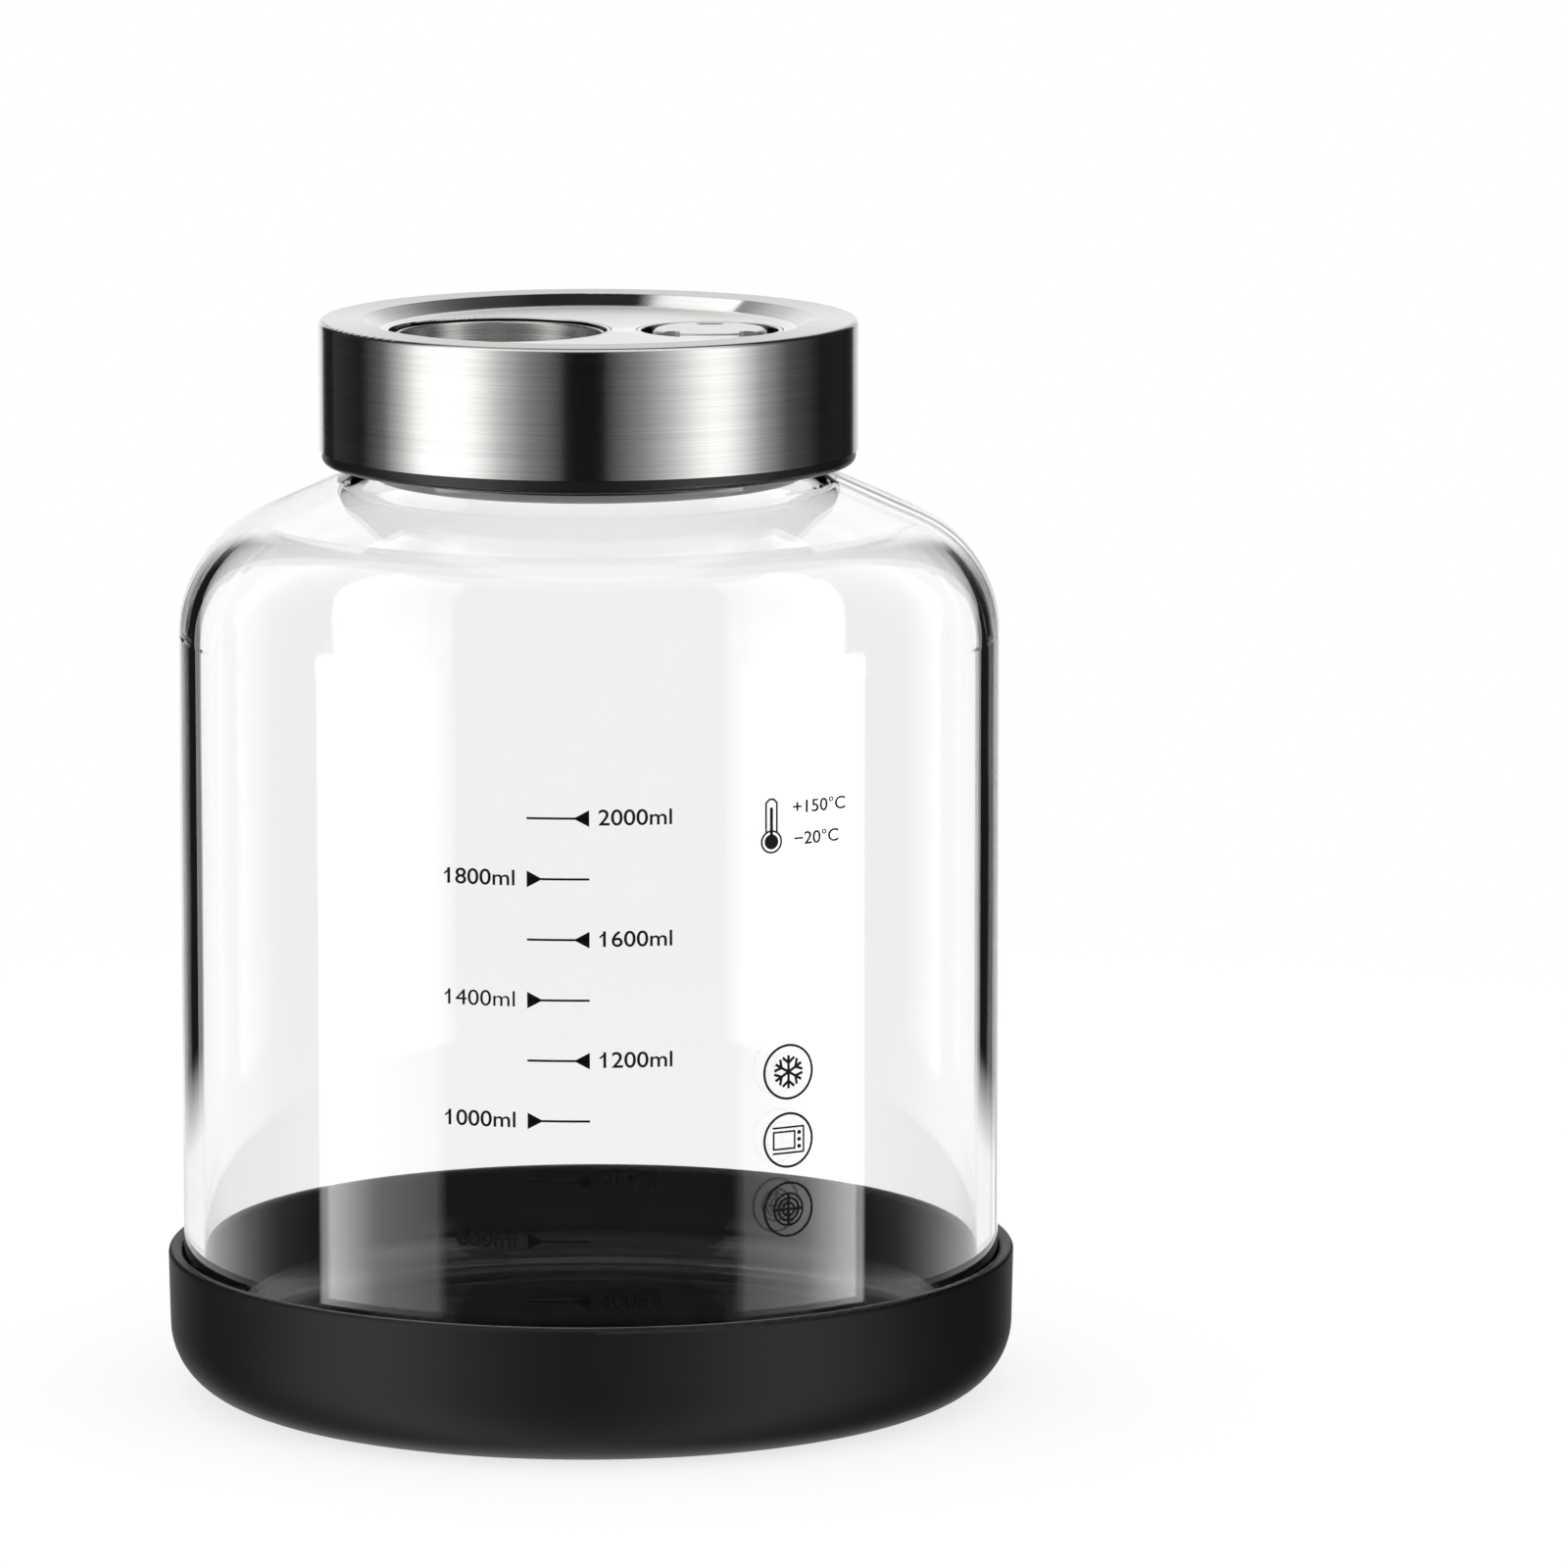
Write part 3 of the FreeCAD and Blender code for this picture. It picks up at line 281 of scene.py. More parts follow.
# %% The steel of the pump's cup
# Gives the eye a grey dish with soft lights down its wall and rays on its floor.
cup_steel, tree, shader = new_finish("Stainless steel, brushed round the pump", {
    "Metallic": 1.0,
    "Anisotropic": 0.9,
})
PUMP_X = -16.7
streaks, *_ = brush_round(tree, shader, (PUMP_X * MM, 0))
tree.links.new(two_tones(tree, streaks, "#c6c6c4", "#dadad8"), shader.inputs["Base Color"])
scratched = add_node(tree, "MapRange", values={"To Min": 0.18, "To Max": 0.32},
                     links={"Value": streaks})
tree.links.new(scratched.outputs["Result"], shader.inputs["Roughness"])
print(cup_steel.name)

# %% [markdown]
# ## Polished and satin metal, wire and screws
#
# The vent's bezel is a polished ring, nearly a mirror with a haze of fine wear. The knob is plastic
# with a satin silver coat, much paler than the steel. The hidden springs are drawn wire and the
# screws are zinc plated. Each could have one even roughness, but that looks painted, so tone and
# roughness wander a little over a noise.

# %% Polished and satin metal
def worn_metal(name, dark, light, roughest, cell):
    """A metal whose tone and roughness wander over cells of this many millimetres."""
    material, tree, shader = new_finish(name, {"Metallic": 1.0})
    place = add_node(tree, "TexCoord").outputs["Object"]
    wear = add_node(tree, "TexNoise", values={"Scale": per_mm(cell), "Detail": 4.0},
                    links={"Vector": place}).outputs["Fac"]
    tree.links.new(two_tones(tree, wear, dark, light), shader.inputs["Base Color"])
    haze = add_node(tree, "MapRange", values={"To Min": roughest * 0.6, "To Max": roughest},
                    links={"Value": wear})
    tree.links.new(haze.outputs["Result"], shader.inputs["Roughness"])
    return material


# Gives the eye a thin bright line round the vent.
bezel_steel = worn_metal("Stainless steel, polished", "#d4d4d2", "#e4e4e2", roughest=0.12, cell=3)
# Gives the eye grey wire with a soft light along it.
spring_wire = worn_metal("Spring steel, drawn wire", "#9a9a98", "#b8b8b6", roughest=0.35, cell=0.8)
# Gives the eye dull pale heads with cloudy spots.
screw_steel = worn_metal("Screw steel, zinc plated", "#a9aaa8", "#c6c7c4", roughest=0.3, cell=0.7)
# Gives the eye an almost white face without sharp lights.
knob_silver = worn_metal("Satin silver coat on plastic", "#ececea", "#f4f4f2", roughest=0.45, cell=1.2)
print("4 metals")

# %% [markdown]
# ## The pump's bezel, with painted shade in its bore
#
# The pump's bezel is a steel ring with a polished upper edge. Below that edge its bore is painted near
# black, as painted shade for the dark gap round the pump. It is one ring, so again the height tells the
# two apart. Two rings would need a seam that the real one doesn't have.

# %% The pump's bezel, with painted shade in its bore
# Gives the eye a black gap round the pump, painted shade in the bore, with a fine bright line on top.
bezel_with_painted_shade, tree, shader = new_finish("Black chrome with a polished edge", {"Metallic": 1.0})
EDGE_LEVEL = 202.62
place = add_node(tree, "TexCoord").outputs["Object"]
wear = add_node(tree, "TexNoise", values={"Scale": per_mm(3), "Detail": 4.0},
                links={"Vector": place}).outputs["Fac"]
height = add_node(tree, "SeparateXYZ", links={"Vector": place}).outputs["Z"]
on_edge = add_node(tree, "Math", {"operation": "GREATER_THAN"}, {1: EDGE_LEVEL * MM},
                   {0: height}).outputs["Value"]
# The near-black tone below the polished edge is painted shade for the dark bore.
bore_painted_shade = two_tones(tree, wear, "#101011", "#1a1a1b")
bare = two_tones(tree, wear, "#d4d4d2", "#e4e4e2")
tone = add_node(tree, "Mix", {"data_type": "RGBA"}, links={0: on_edge, 6: bore_painted_shade, 7: bare}).outputs[2]
tree.links.new(tone, shader.inputs["Base Color"])
haze = add_node(tree, "MapRange", values={"To Min": 0.1, "To Max": 0.2}, links={"Value": wear})
tree.links.new(haze.outputs["Result"], shader.inputs["Roughness"])
print(bezel_with_painted_shade.name)

# %% [markdown]
# ## Rubber and plastics
#
# The cup under the jar is black silicone with a fine matte skin. The lid's core is black
# polypropylene, a bit glossier. The inner cover is grey polypropylene, the gaskets are pale silicone
# that lets some light in, and the poppet is white acetal. All of them have a white gloss: only its
# width and the colour under it change. So one function makes them all, with a fine noise for the
# moulded skin and a slow one for the clouds in the colour.

# %% Rubber and plastics
CLOUD = 60


def moulded(name, dark, light, roughness, cell, depth, extra=()):
    """A moulded rubber or plastic with a skin of this cell size and depth, in millimetres."""
    material, tree, shader = new_finish(name, dict(extra))
    place = add_node(tree, "TexCoord").outputs["Object"]
    skin = add_node(tree, "TexNoise", values={"Scale": per_mm(cell), "Detail": 3.0},
                    links={"Vector": place}).outputs["Fac"]
    clouds = add_node(tree, "TexNoise", values={"Scale": per_mm(cell * CLOUD), "Detail": 2.0},
                      links={"Vector": place}).outputs["Fac"]
    tree.links.new(two_tones(tree, clouds, dark, light), shader.inputs["Base Color"])
    haze = add_node(tree, "MapRange", values={"To Min": roughness - 0.05, "To Max": roughness + 0.05},
                    links={"Value": clouds})
    tree.links.new(haze.outputs["Result"], shader.inputs["Roughness"])
    bump = add_node(tree, "Bump", values={"Strength": 0.3, "Distance": depth * MM},
                    links={"Height": skin})
    tree.links.new(bump.outputs["Normal"], shader.inputs["Normal"])
    return material


# Gives the eye a deep black with broad dim lights and no sharp image.
cup_silicone = moulded("Black silicone, matte moulded", "#0a0a0b", "#0e0e0f",
                       roughness=0.47, cell=0.35, depth=0.02, extra={"IOR": 1.41})
# Gives the eye black with a narrower, clearer light.
core_plastic = moulded("Black polypropylene, moulded", "#121213", "#181819",
                       roughness=0.32, cell=0.5, depth=0.01)
# Gives the eye an even pale grey.
cover_plastic = moulded("Grey polypropylene, moulded", "#c3c5c5", "#cbcdcd",
                        roughness=0.4, cell=0.5, depth=0.01)
# Gives the eye a milky white with soft edges, because light enters it.
pale_silicone = moulded("Translucent silicone", "#dcdedb", "#e6e8e5",
                        roughness=0.5, cell=0.5, depth=0.01,
                        extra={"Subsurface Weight": 0.3, "Subsurface Scale": 1.5 * MM})
# Gives the eye a clean warm white.
white_acetal = moulded("White acetal, turned", "#e6e6e2", "#eeeeea",
                       roughness=0.35, cell=0.4, depth=0.005)
print("5 rubbers and plastics")

# %% [markdown]
# ## A finish for every node
#
# Each solid comes with a slot that holds a plain colour. The finishes could be set one by one, but a
# table shows at a glance which pieces share a material, as they would on a maker's parts list.

# %% A finish for every node
FINISHES = {
    borosilicate: ["glass_jar"],
    lid_steel: ["lid_cover"],
    cup_steel: ["pump_button"],
    bezel_with_painted_shade: ["pump_bezel"],
    bezel_steel: ["vent_bezel"],
    knob_silver: ["vent_knob"],
    cup_silicone: ["base_cup"],
    core_plastic: ["lid_core", "pump_barrel", "vent_well", "knob_retainer", "pump_piston"],
    cover_plastic: ["inner_cover"],
    pale_silicone: ["lid_gasket", "ring_seal", "piston_seal", "intake_valve", "airlock_seat"],
    white_acetal: ["airlock_poppet"],
    spring_wire: ["pump_spring", "airlock_spring"],
    screw_steel: ["cover_screws"],
}
for material, names in FINISHES.items():
    for name in names:
        for holder in nodes[name].material_slots:
            holder.material = material
print(sum(len(names) for names in FINISHES.values()), "nodes have a finish")

# %% [markdown]
# ## Ink
#
# The scale and the signs are ceramic ink, screen printed and fired onto the glass. It could be a
# picture on the glass, but then it would blur when seen from near. Here every mark is a thin solid,
# and the ink is a plain dark dielectric. Its IOR is set low, because fired ink is porous and keeps
# little gloss.

# %% Ink
# Gives the eye flat black marks that stay black in front of the dark cup too.
ink, tree, shader = new_finish("Ceramic ink, fired black", {"IOR": 1.25})
PORE = 0.3
place = add_node(tree, "TexCoord").outputs["Object"]
pores = add_node(tree, "TexNoise", values={"Scale": per_mm(PORE), "Detail": 2.0},
                 links={"Vector": place}).outputs["Fac"]
tree.links.new(two_tones(tree, pores, "#050506", "#0a0a0b"), shader.inputs["Base Color"])
haze = add_node(tree, "MapRange", values={"To Min": 0.4, "To Max": 0.6}, links={"Value": pores})
tree.links.new(haze.outputs["Result"], shader.inputs["Roughness"])
print(ink.name)

# %% [markdown]
# ## Drawing the print
#
# Print is flat artwork wrapped on a cylinder, so it is drawn flat first, in the plane of the page. It
# could be drawn as curves, as in a drawing program. Nearly all of it is made of three shapes, a bar, a
# disc and a round line, so three short functions are quicker, and their size is exact.

# %% Shapes of print
def bar(art, x, z, wide, tall, turn=0.0):
    """A rectangle of print about a point, turned in the page by an angle in degrees."""
    made = bmesh.ops.create_grid(art, x_segments=1, y_segments=1, size=0.5)["verts"]
    bmesh.ops.scale(art, vec=(wide * MM, tall * MM, 1), verts=made)
    lean = Matrix.Rotation(math.radians(turn), 3, "Z")
    bmesh.ops.rotate(art, cent=(0, 0, 0), matrix=lean, verts=made)
    bmesh.ops.translate(art, vec=(x * MM, z * MM, 0), verts=made)


def disc(art, x, z, radius, sides=24):
    """A filled round shape of print."""
    made = bmesh.ops.create_circle(art, cap_ends=True, segments=sides, radius=radius * MM)["verts"]
    bmesh.ops.translate(art, vec=(x * MM, z * MM, 0), verts=made)


def row_edges(art, row):
    """The edges of a closed row of vertices, in order."""
    return [art.edges.get((row[i - 1], row[i])) for i in range(len(row))]


def ring(art, x, z, radius, line, sides=48):
    """A round line of print."""
    inner, outer = radius - line / 2, radius + line / 2
    made = bmesh.ops.create_circle(art, cap_ends=False, segments=sides, radius=inner * MM)["verts"]
    grown = bmesh.ops.extrude_edge_only(art, edges=row_edges(art, made))["geom"]
    rim = [item for item in grown if isinstance(item, bmesh.types.BMVert)]
    bmesh.ops.scale(art, vec=(outer / inner, outer / inner, 1), verts=rim)
    bmesh.ops.translate(art, vec=(x * MM, z * MM, 0), verts=made + rim)


print("bar, disc and ring")

# %% [markdown]
# ## Lettering
#
# Numbers and units are plain upright lettering. It could be built from bars, but a text object knows
# the shapes already, and is turned into a mesh. Blender's own face has a plain stroke for a one, so a
# short bar adds its hook. A text gets bolder by an offset of its outline, but this closes the hole in
# a four, so texts with a four keep their thinner strokes.

# %% Lettering
CAPITALS = 0.72
BOLDER = 0.011
WIDE_FACE = 1.12
HOOK_OUT, HOOK_UP, HOOK_LONG, HOOK_THICK, HOOK_TURN = 0.08, 0.26, 0.34, 0.11, 40


def words(art, text, x, z, tall, side):
    """Plain lettering with its capitals this tall, set from its left or right."""
    curve = bpy.data.curves.new("lettering", "FONT")
    curve.body = text
    curve.align_x = side
    curve.align_y = "CENTER"
    curve.size = tall * MM / CAPITALS
    if "4" not in text:
        curve.offset = tall * MM * BOLDER
    writer = bpy.data.objects.new("lettering", curve)
    bpy.context.scene.collection.objects.link(writer)
    mesh = bpy.data.meshes.new_from_object(writer)
    mesh.transform(Matrix.Translation((x * MM, z * MM, 0)) @ Matrix.Diagonal((WIDE_FACE, 1, 1, 1)))
    art.from_mesh(mesh)
    if text.startswith("1"):
        foremost = min(vert.co.x for vert in mesh.vertices) / MM
        bar(art, foremost - HOOK_OUT * tall, z + HOOK_UP * tall, HOOK_LONG * tall, HOOK_THICK * tall,
            HOOK_TURN)
    bpy.data.objects.remove(writer)
    bpy.data.curves.remove(curve)
    bpy.data.meshes.remove(mesh)


print(f"letters {WIDE_FACE} times as wide as drawn")

# %% [markdown]
# ## From the page to the glass
#
# The flat print is cut into narrow strips, so that it can bend, then it gets a real thickness, so that
# every mark is a closed solid and not a loose face. Last it is bent: how far a point lies to the side
# becomes an angle round the jar. A Simple Deform modifier could bend it too, but the angle worked out
# here follows the glass exactly, and the piece keeps its place in its mesh.

# %% From the page to the glass
GLASS_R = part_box("glass_jar")[1].x
INK = 0.06 * MM
STRIP = 1.2 * MM


def make_piece(name, art, finish):
    """An object of this name and finish from a bmesh, which is used up."""
    mesh = bpy.data.meshes.new(name)
    art.to_mesh(mesh)
    art.free()
    mesh.materials.append(finish)
    piece = bpy.data.objects.new(name, mesh)
    bpy.context.scene.collection.objects.link(piece)
    print(name, len(mesh.polygons), "faces")
    return piece


def wrap(art, name, angle):
    """Thickens flat print, bends it round the glass at an angle from the front and makes it a piece."""
    bmesh.ops.remove_doubles(art, verts=art.verts, dist=0.001 * MM)
    sides = [vert.co.x for vert in art.verts]
    for cut in range(math.ceil(min(sides) / STRIP), math.floor(max(sides) / STRIP) + 1):
        everything = art.verts[:] + art.edges[:] + art.faces[:]
        bmesh.ops.bisect_plane(art, geom=everything, plane_co=(cut * STRIP, 0, 0), plane_no=(1, 0, 0))
    grown = bmesh.ops.extrude_face_region(art, geom=art.faces[:], use_keep_orig=True)["geom"]
    raised = [item for item in grown if isinstance(item, bmesh.types.BMVert)]
    bmesh.ops.translate(art, vec=(0, 0, INK), verts=raised)
    bmesh.ops.recalc_face_normals(art, faces=art.faces)
    for vert in art.verts:
        turn = vert.co.x / GLASS_R + math.radians(angle)
        out = GLASS_R - INK / 3 + vert.co.z
        vert.co = (out * math.sin(turn), -out * math.cos(turn), vert.co.y)
    piece = make_piece(name, art, ink)
    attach(piece, "jar")


print(f"glass radius {GLASS_R / MM:.2f} mm")

# %% [markdown]
# ## The volume scale
#
# Nine marks stand on the front of the glass, one every 200 ml. The numbers change sides from mark to
# mark. At the number's end of each line sits a small solid triangle with its tip along the line. A
# loop makes them all, because only the level, the side and the number change.

# %% The volume scale
FIRST_MARK = 31.75
MARK_STEP = 11.26
MARK_LEFT = -10.2
MARK_RIGHT = 1.3
MARK_LINE = 0.4
NUMBER_GAP = {1: 1.55, -1: 2.0}
DIGITS = 3.0
POINTER_LONG = 2.9
POINTER_TALL = 3.1
art = bmesh.new()
for step in range(9):
    level = FIRST_MARK + step * MARK_STEP
    right = step % 2 == 0
    side = 1 if right else -1
    line_end = MARK_RIGHT if right else MARK_LEFT
    bar(art, (MARK_LEFT + MARK_RIGHT) / 2, level, MARK_RIGHT - MARK_LEFT, MARK_LINE)
    tip = line_end - side * POINTER_LONG
    half = side * POINTER_TALL / 2
    corners = ((line_end, level - half), (line_end, level + half), (tip, level))
    art.faces.new([art.verts.new((x * MM, z * MM, 0)) for x, z in corners])
    words(art, f"{400 + 200 * step}ml", line_end + side * NUMBER_GAP[side], level, DIGITS,
          "LEFT" if right else "RIGHT")
wrap(art, "volume_scale", 0)

# %% [markdown]
# ## The thermometer
#
# Farther right stands a small thermometer with the range that the glass bears. It could be traced as
# one outline, but at this size straight pieces look the same: two long bars, two short slanted ones
# that round its top, and a round line about the bulb.

# %% The thermometer
BULB_LEVEL = 116.2
BULB_R = 2.0
FILLED_R = 1.4
TUBE_TOP = 124.1
TUBE_HALF = 1.1
TUBE_MID = (BULB_LEVEL + TUBE_TOP) / 2 + 0.55
TUBE_LONG = TUBE_TOP - BULB_LEVEL - 2.3
TOP_LONG = 1.0
TOP_IN = 0.72
TOP_TURN = 41
COLUMN_MID = BULB_LEVEL + 3.4
COLUMN_WIDE = 0.6
COLUMN_LONG = 6.0
THIN = 0.35
RANGE_TALL = 2.4
THERMOMETER_ANGLE = 26.4
art = bmesh.new()
for across in (-TUBE_HALF, TUBE_HALF):
    bar(art, across, TUBE_MID, THIN, TUBE_LONG)
    bar(art, across * TOP_IN, TUBE_TOP - THIN, THIN, TOP_LONG, across * TOP_TURN)
bar(art, 0, TUBE_TOP, TOP_LONG, THIN)
bar(art, 0, COLUMN_MID, COLUMN_WIDE, COLUMN_LONG)
ring(art, 0, BULB_LEVEL, BULB_R, THIN)
disc(art, 0, BULB_LEVEL, FILLED_R)
words(art, "+150°C", 4.3, 122.2, RANGE_TALL, "LEFT")
words(art, "−20°C", 4.6, 116.3, RANGE_TALL, "LEFT")
wrap(art, "thermometer_sign", THERMOMETER_ANGLE)

# %% [markdown]
# ## The snowflake
#
# Under the thermometer are three round signs for where the jar may be used. They are common signs,
# drawn from the same bars, discs and rings, and each is a piece of its own, so that another jar could
# carry only some of them. The first is a snowflake, for the fridge. It could be one arm copied six
# times. Three long bars through the middle do the same with fewer faces, and only the twigs are copied.

# %% The snowflake
SIGN_ANGLE = 29.0
SIGN_RADIUS = 5.0
SIGN_LINE = 0.45
ARM_WIDE = 0.5
ARM_LONG = 6.2
TWIG_LONG = 1.6
TWIG_AT = 2.2
TWIG_OUT = 0.6
TWIG_TURN = 40
level = 73.0
art = bmesh.new()
ring(art, 0, level, SIGN_RADIUS, SIGN_LINE)
for turn in (0, 60, 120):
    bar(art, 0, level, ARM_WIDE, ARM_LONG, turn)
for turn in range(0, 360, 60):
    lean = math.radians(turn)
    for side in (-TWIG_OUT, TWIG_OUT):
        x = -TWIG_AT * math.sin(lean) - side * math.cos(lean)
        z = TWIG_AT * math.cos(lean) - side * math.sin(lean)
        bar(art, x, level + z, TWIG_LONG, ARM_WIDE, turn - math.copysign(TWIG_TURN, side))
wrap(art, "snowflake_sign", SIGN_ANGLE)

# %% [markdown]
# ## The oven
#
# The second sign is an oven: a case with a door on its left and three knobs on its right. Its frames
# could be cut out of a plate, but thin bars side by side need no cutting. They are listed by place and
# size, so that the drawing can be read off and changed in one spot.

# %% The oven
OVEN_BARS = (  # across and up from the middle, wide, tall
    (0, -2.4, 6.6, THIN), (0, 2.4, 6.6, THIN),  # foot and top of the case
    (-0.9, -1.6, 4.7, THIN), (-0.9, 1.6, 4.7, THIN),  # foot and top of the door
    (-3.1, 0, THIN, 3.2), (1.3, 0, THIN, 3.2),  # sides of the door
    (3.2, 0, THIN, 4.6),  # right side of the case
)
OVEN_KNOBS = 2.25
OVEN_KNOB_R = 0.4
level = 60.2
art = bmesh.new()
ring(art, 0, level, SIGN_RADIUS, SIGN_LINE)
for across, up, wide, tall in OVEN_BARS:
    bar(art, across, level + up, wide, tall)
for up in (-1.3, 0.0, 1.3):
    disc(art, OVEN_KNOBS, level + up, OVEN_KNOB_R, 12)
wrap(art, "oven_sign", SIGN_ANGLE)

# %% [markdown]
# ## The hob
#
# The third sign is a round hob: three rings and a cross. A spiral would look more like a real coil, but
# at this size nobody could tell them apart, and rings stay clean when they are bent round the glass.

# %% The hob
HOB_RINGS = (1.2, 2.1, 3.0)
HOB_LINE = 0.4
CROSS_WIDE = 0.55
CROSS_LONG = 6.2
level = 47.2
art = bmesh.new()
ring(art, 0, level, SIGN_RADIUS, SIGN_LINE)
for radius in HOB_RINGS:
    ring(art, 0, level, radius, HOB_LINE, 36)
for turn in (0, 90):
    bar(art, 0, level, CROSS_WIDE, CROSS_LONG, turn)
wrap(art, "hob_sign", SIGN_ANGLE)

# %% [markdown]
# ## The two springs
#
# A strong spring under the pump lifts the cup again after each press, and a small one in the knob keeps
# the airlock's poppet on its seat. A coil is one circle of wire carried round an axis while it climbs,
# which is what the spin operator does when it is given a rise per step. The solids have coils too, and
# a rigid coil can't shorten. These pieces stand in for them: the solid springs are hidden, and both
# coils are attached to the lid's body.

# %% The springs
VENT_X = 22.9
STEPS_PER_TURN = 32


def make_coil(name, axis_x, low, high, radius, wire, turns):
    """A closed coil of round wire between two heights, in millimetres."""
    art = bmesh.new()
    start = Matrix.Translation((radius * MM, 0, (low + wire / 2) * MM))
    upright = start @ Matrix.Rotation(math.radians(90), 4, "X")
    section = bmesh.ops.create_circle(art, segments=12, radius=wire / 2 * MM, matrix=upright)["verts"]
    steps = round(turns * STEPS_PER_TURN)
    rise = (high - low - wire) * MM / steps
    bmesh.ops.spin(art, geom=section + art.edges[:], cent=(0, 0, 0), axis=(0, 0, 1), dvec=(0, 0, rise),
                   angle=2 * math.pi * turns, steps=steps)
    bmesh.ops.holes_fill(art, edges=[edge for edge in art.edges if edge.is_boundary], sides=0)
    bmesh.ops.recalc_face_normals(art, faces=art.faces)
    bmesh.ops.translate(art, vec=(axis_x * MM, 0, 0), verts=art.verts)
    for face in art.faces:
        face.smooth = len(face.verts) == 4
    piece = make_piece(name, art, spring_wire)
    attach(piece, "lid")
    return piece


pump_coil = make_coil("pump_coil", PUMP_X, low=179.5, high=192.9, radius=8.55, wire=1.1, turns=4)
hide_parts("pump_spring")
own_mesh(pump_coil)
airlock_coil = make_coil("airlock_coil", VENT_X, low=195.55, high=200.55, radius=3.6, wire=0.5,
                         turns=3.5)
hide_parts("airlock_spring")
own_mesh(airlock_coil)

# %% [markdown]
# ## The screws under the lid
#
# Four small screws hold the inner cover. Each head has a cross for a screwdriver. A cross could be cut
# with a boolean, which leaves untidy faces. Here a screw is a row of closed outlines, from the floor of
# the cross out over the head and up the shank, and each pair of outlines is bridged.

# %% One screw
CROSS_ARM = ((1.35, -0.28), (1.35, 0.28), (0.28, 0.28))
CROSS_DEEP = 0.9
SCREW_ROUNDS = (  # radius, height above the lowest face
    (2.1, 0.0), (2.3, 0.25), (2.3, 1.5),  # the head
    (1.24, 1.5), (1.24, 8.6), (0.4, 9.5),  # the shank and its tip
)


def outline(art, points, level):
    """A closed row of vertices at one height, in millimetres, and its edges."""
    row = [art.verts.new((x * MM, y * MM, level * MM)) for x, y in points]
    return row, [art.edges.new((row[i - 1], row[i])) for i in range(len(row))]


def circle(radius, sides=24):
    """The corners of a round outline."""
    turns = [2 * math.pi * i / sides for i in range(sides)]
    return [(radius * math.cos(turn), radius * math.sin(turn)) for turn in turns]


cross = []
for c, s in ((1, 0), (0, 1), (-1, 0), (0, -1)):
    cross += [(x * c - y * s, x * s + y * c) for x, y in CROSS_ARM]
art = bmesh.new()
rows = [outline(art, cross, CROSS_DEEP), outline(art, cross, 0.0)]
rows += [outline(art, circle(radius), level) for radius, level in SCREW_ROUNDS]
for (_, lower), (_, upper) in zip(rows, rows[1:]):
    bmesh.ops.bridge_loops(art, edges=lower + upper)
art.faces.new(rows[0][0])
art.faces.new(rows[-1][0])
bmesh.ops.recalc_face_normals(art, faces=art.faces)
print("one screw", len(art.faces), "faces")

# %% [markdown]
# ## Four screws
#
# The screws stand evenly on a circle. They could be four objects, but they never move apart, so one
# screw is put in its place and copied three times inside one mesh, a quarter turn at a time.

# %% Four screws
SCREW_LOW = 173.3
SCREW_CIRCLE = 33.2
FIRST_SCREW = 45
bmesh.ops.translate(art, vec=(SCREW_CIRCLE * MM, 0, SCREW_LOW * MM), verts=art.verts)
bmesh.ops.rotate(art, cent=(0, 0, 0), matrix=Matrix.Rotation(math.radians(FIRST_SCREW), 3, "Z"),
                 verts=art.verts)
one = art.verts[:] + art.edges[:] + art.faces[:]
for quarter in (90, 180, 270):
    copied = bmesh.ops.duplicate(art, geom=one)["geom"]
    bmesh.ops.rotate(art, cent=(0, 0, 0), matrix=Matrix.Rotation(math.radians(quarter), 3, "Z"),
                     verts=[item for item in copied if isinstance(item, bmesh.types.BMVert)])
screws = make_piece("cross_screws", art, screw_steel)
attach(screws, "lid")
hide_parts("cover_screws")

# %% [markdown]
# ## The camera
#
# The picture was taken from about two metres with a long lens, a little above the jar. A long lens
# keeps the ellipses flat. The camera could be aimed at the jar. It stands a little to the right and
# looks straight ahead and down instead, which puts the jar left of the middle, as in the picture. The
# lens is given for a square frame on a 36 mm sensor.

# %% The camera
LENS = 240.95
LOOK_DOWN = 8.9965
camera_data = bpy.data.cameras.new("camera")
camera_data.sensor_width = 36
camera_data.sensor_fit = "HORIZONTAL"
camera_data.lens = LENS
camera_data.clip_end = 100
camera = bpy.data.objects.new("camera", camera_data)
camera.location = (36.89 * MM, -1970.5 * MM, 427.9 * MM)
camera.rotation_euler = (math.radians(90 - LOOK_DOWN), 0, 0)
bpy.context.scene.collection.objects.link(camera)
bpy.context.scene.camera = camera
print("camera at", [round(v, 3) for v in camera.location])

# %% [markdown]
# ## Soft boxes
#
# Two tall soft boxes stand in front, left and right, and light the jar. A third hangs behind, and
# draws the bright patch on the slope inside the lid's ring. A real soft box fades towards its edge, and
# an area light doesn't, so the metal doesn't mirror the two front boxes themselves: their mirror
# images are part of the room, further down, where they can fade.

# %% Soft boxes
AIM = Vector((0, 0, 0.11))


def soft_box(name, azimuth, distance, level, wide, tall, radiance):
    """A flat light at an angle from the camera's side, turned to the jar."""
    light = bpy.data.lights.new(name, "AREA")
    light.shape = "RECTANGLE"
    light.size = wide
    light.size_y = tall
    light.energy = radiance * math.pi * wide * tall
    lamp = bpy.data.objects.new(name, light)
    turn = math.radians(azimuth)
    lamp.location = (distance * math.sin(turn), -distance * math.cos(turn), level)
    lamp.rotation_euler = (AIM - lamp.location).to_track_quat("-Z", "Y").to_euler()
    bpy.context.scene.collection.objects.link(lamp)
    print(name, [round(v, 2) for v in lamp.location])
    return lamp


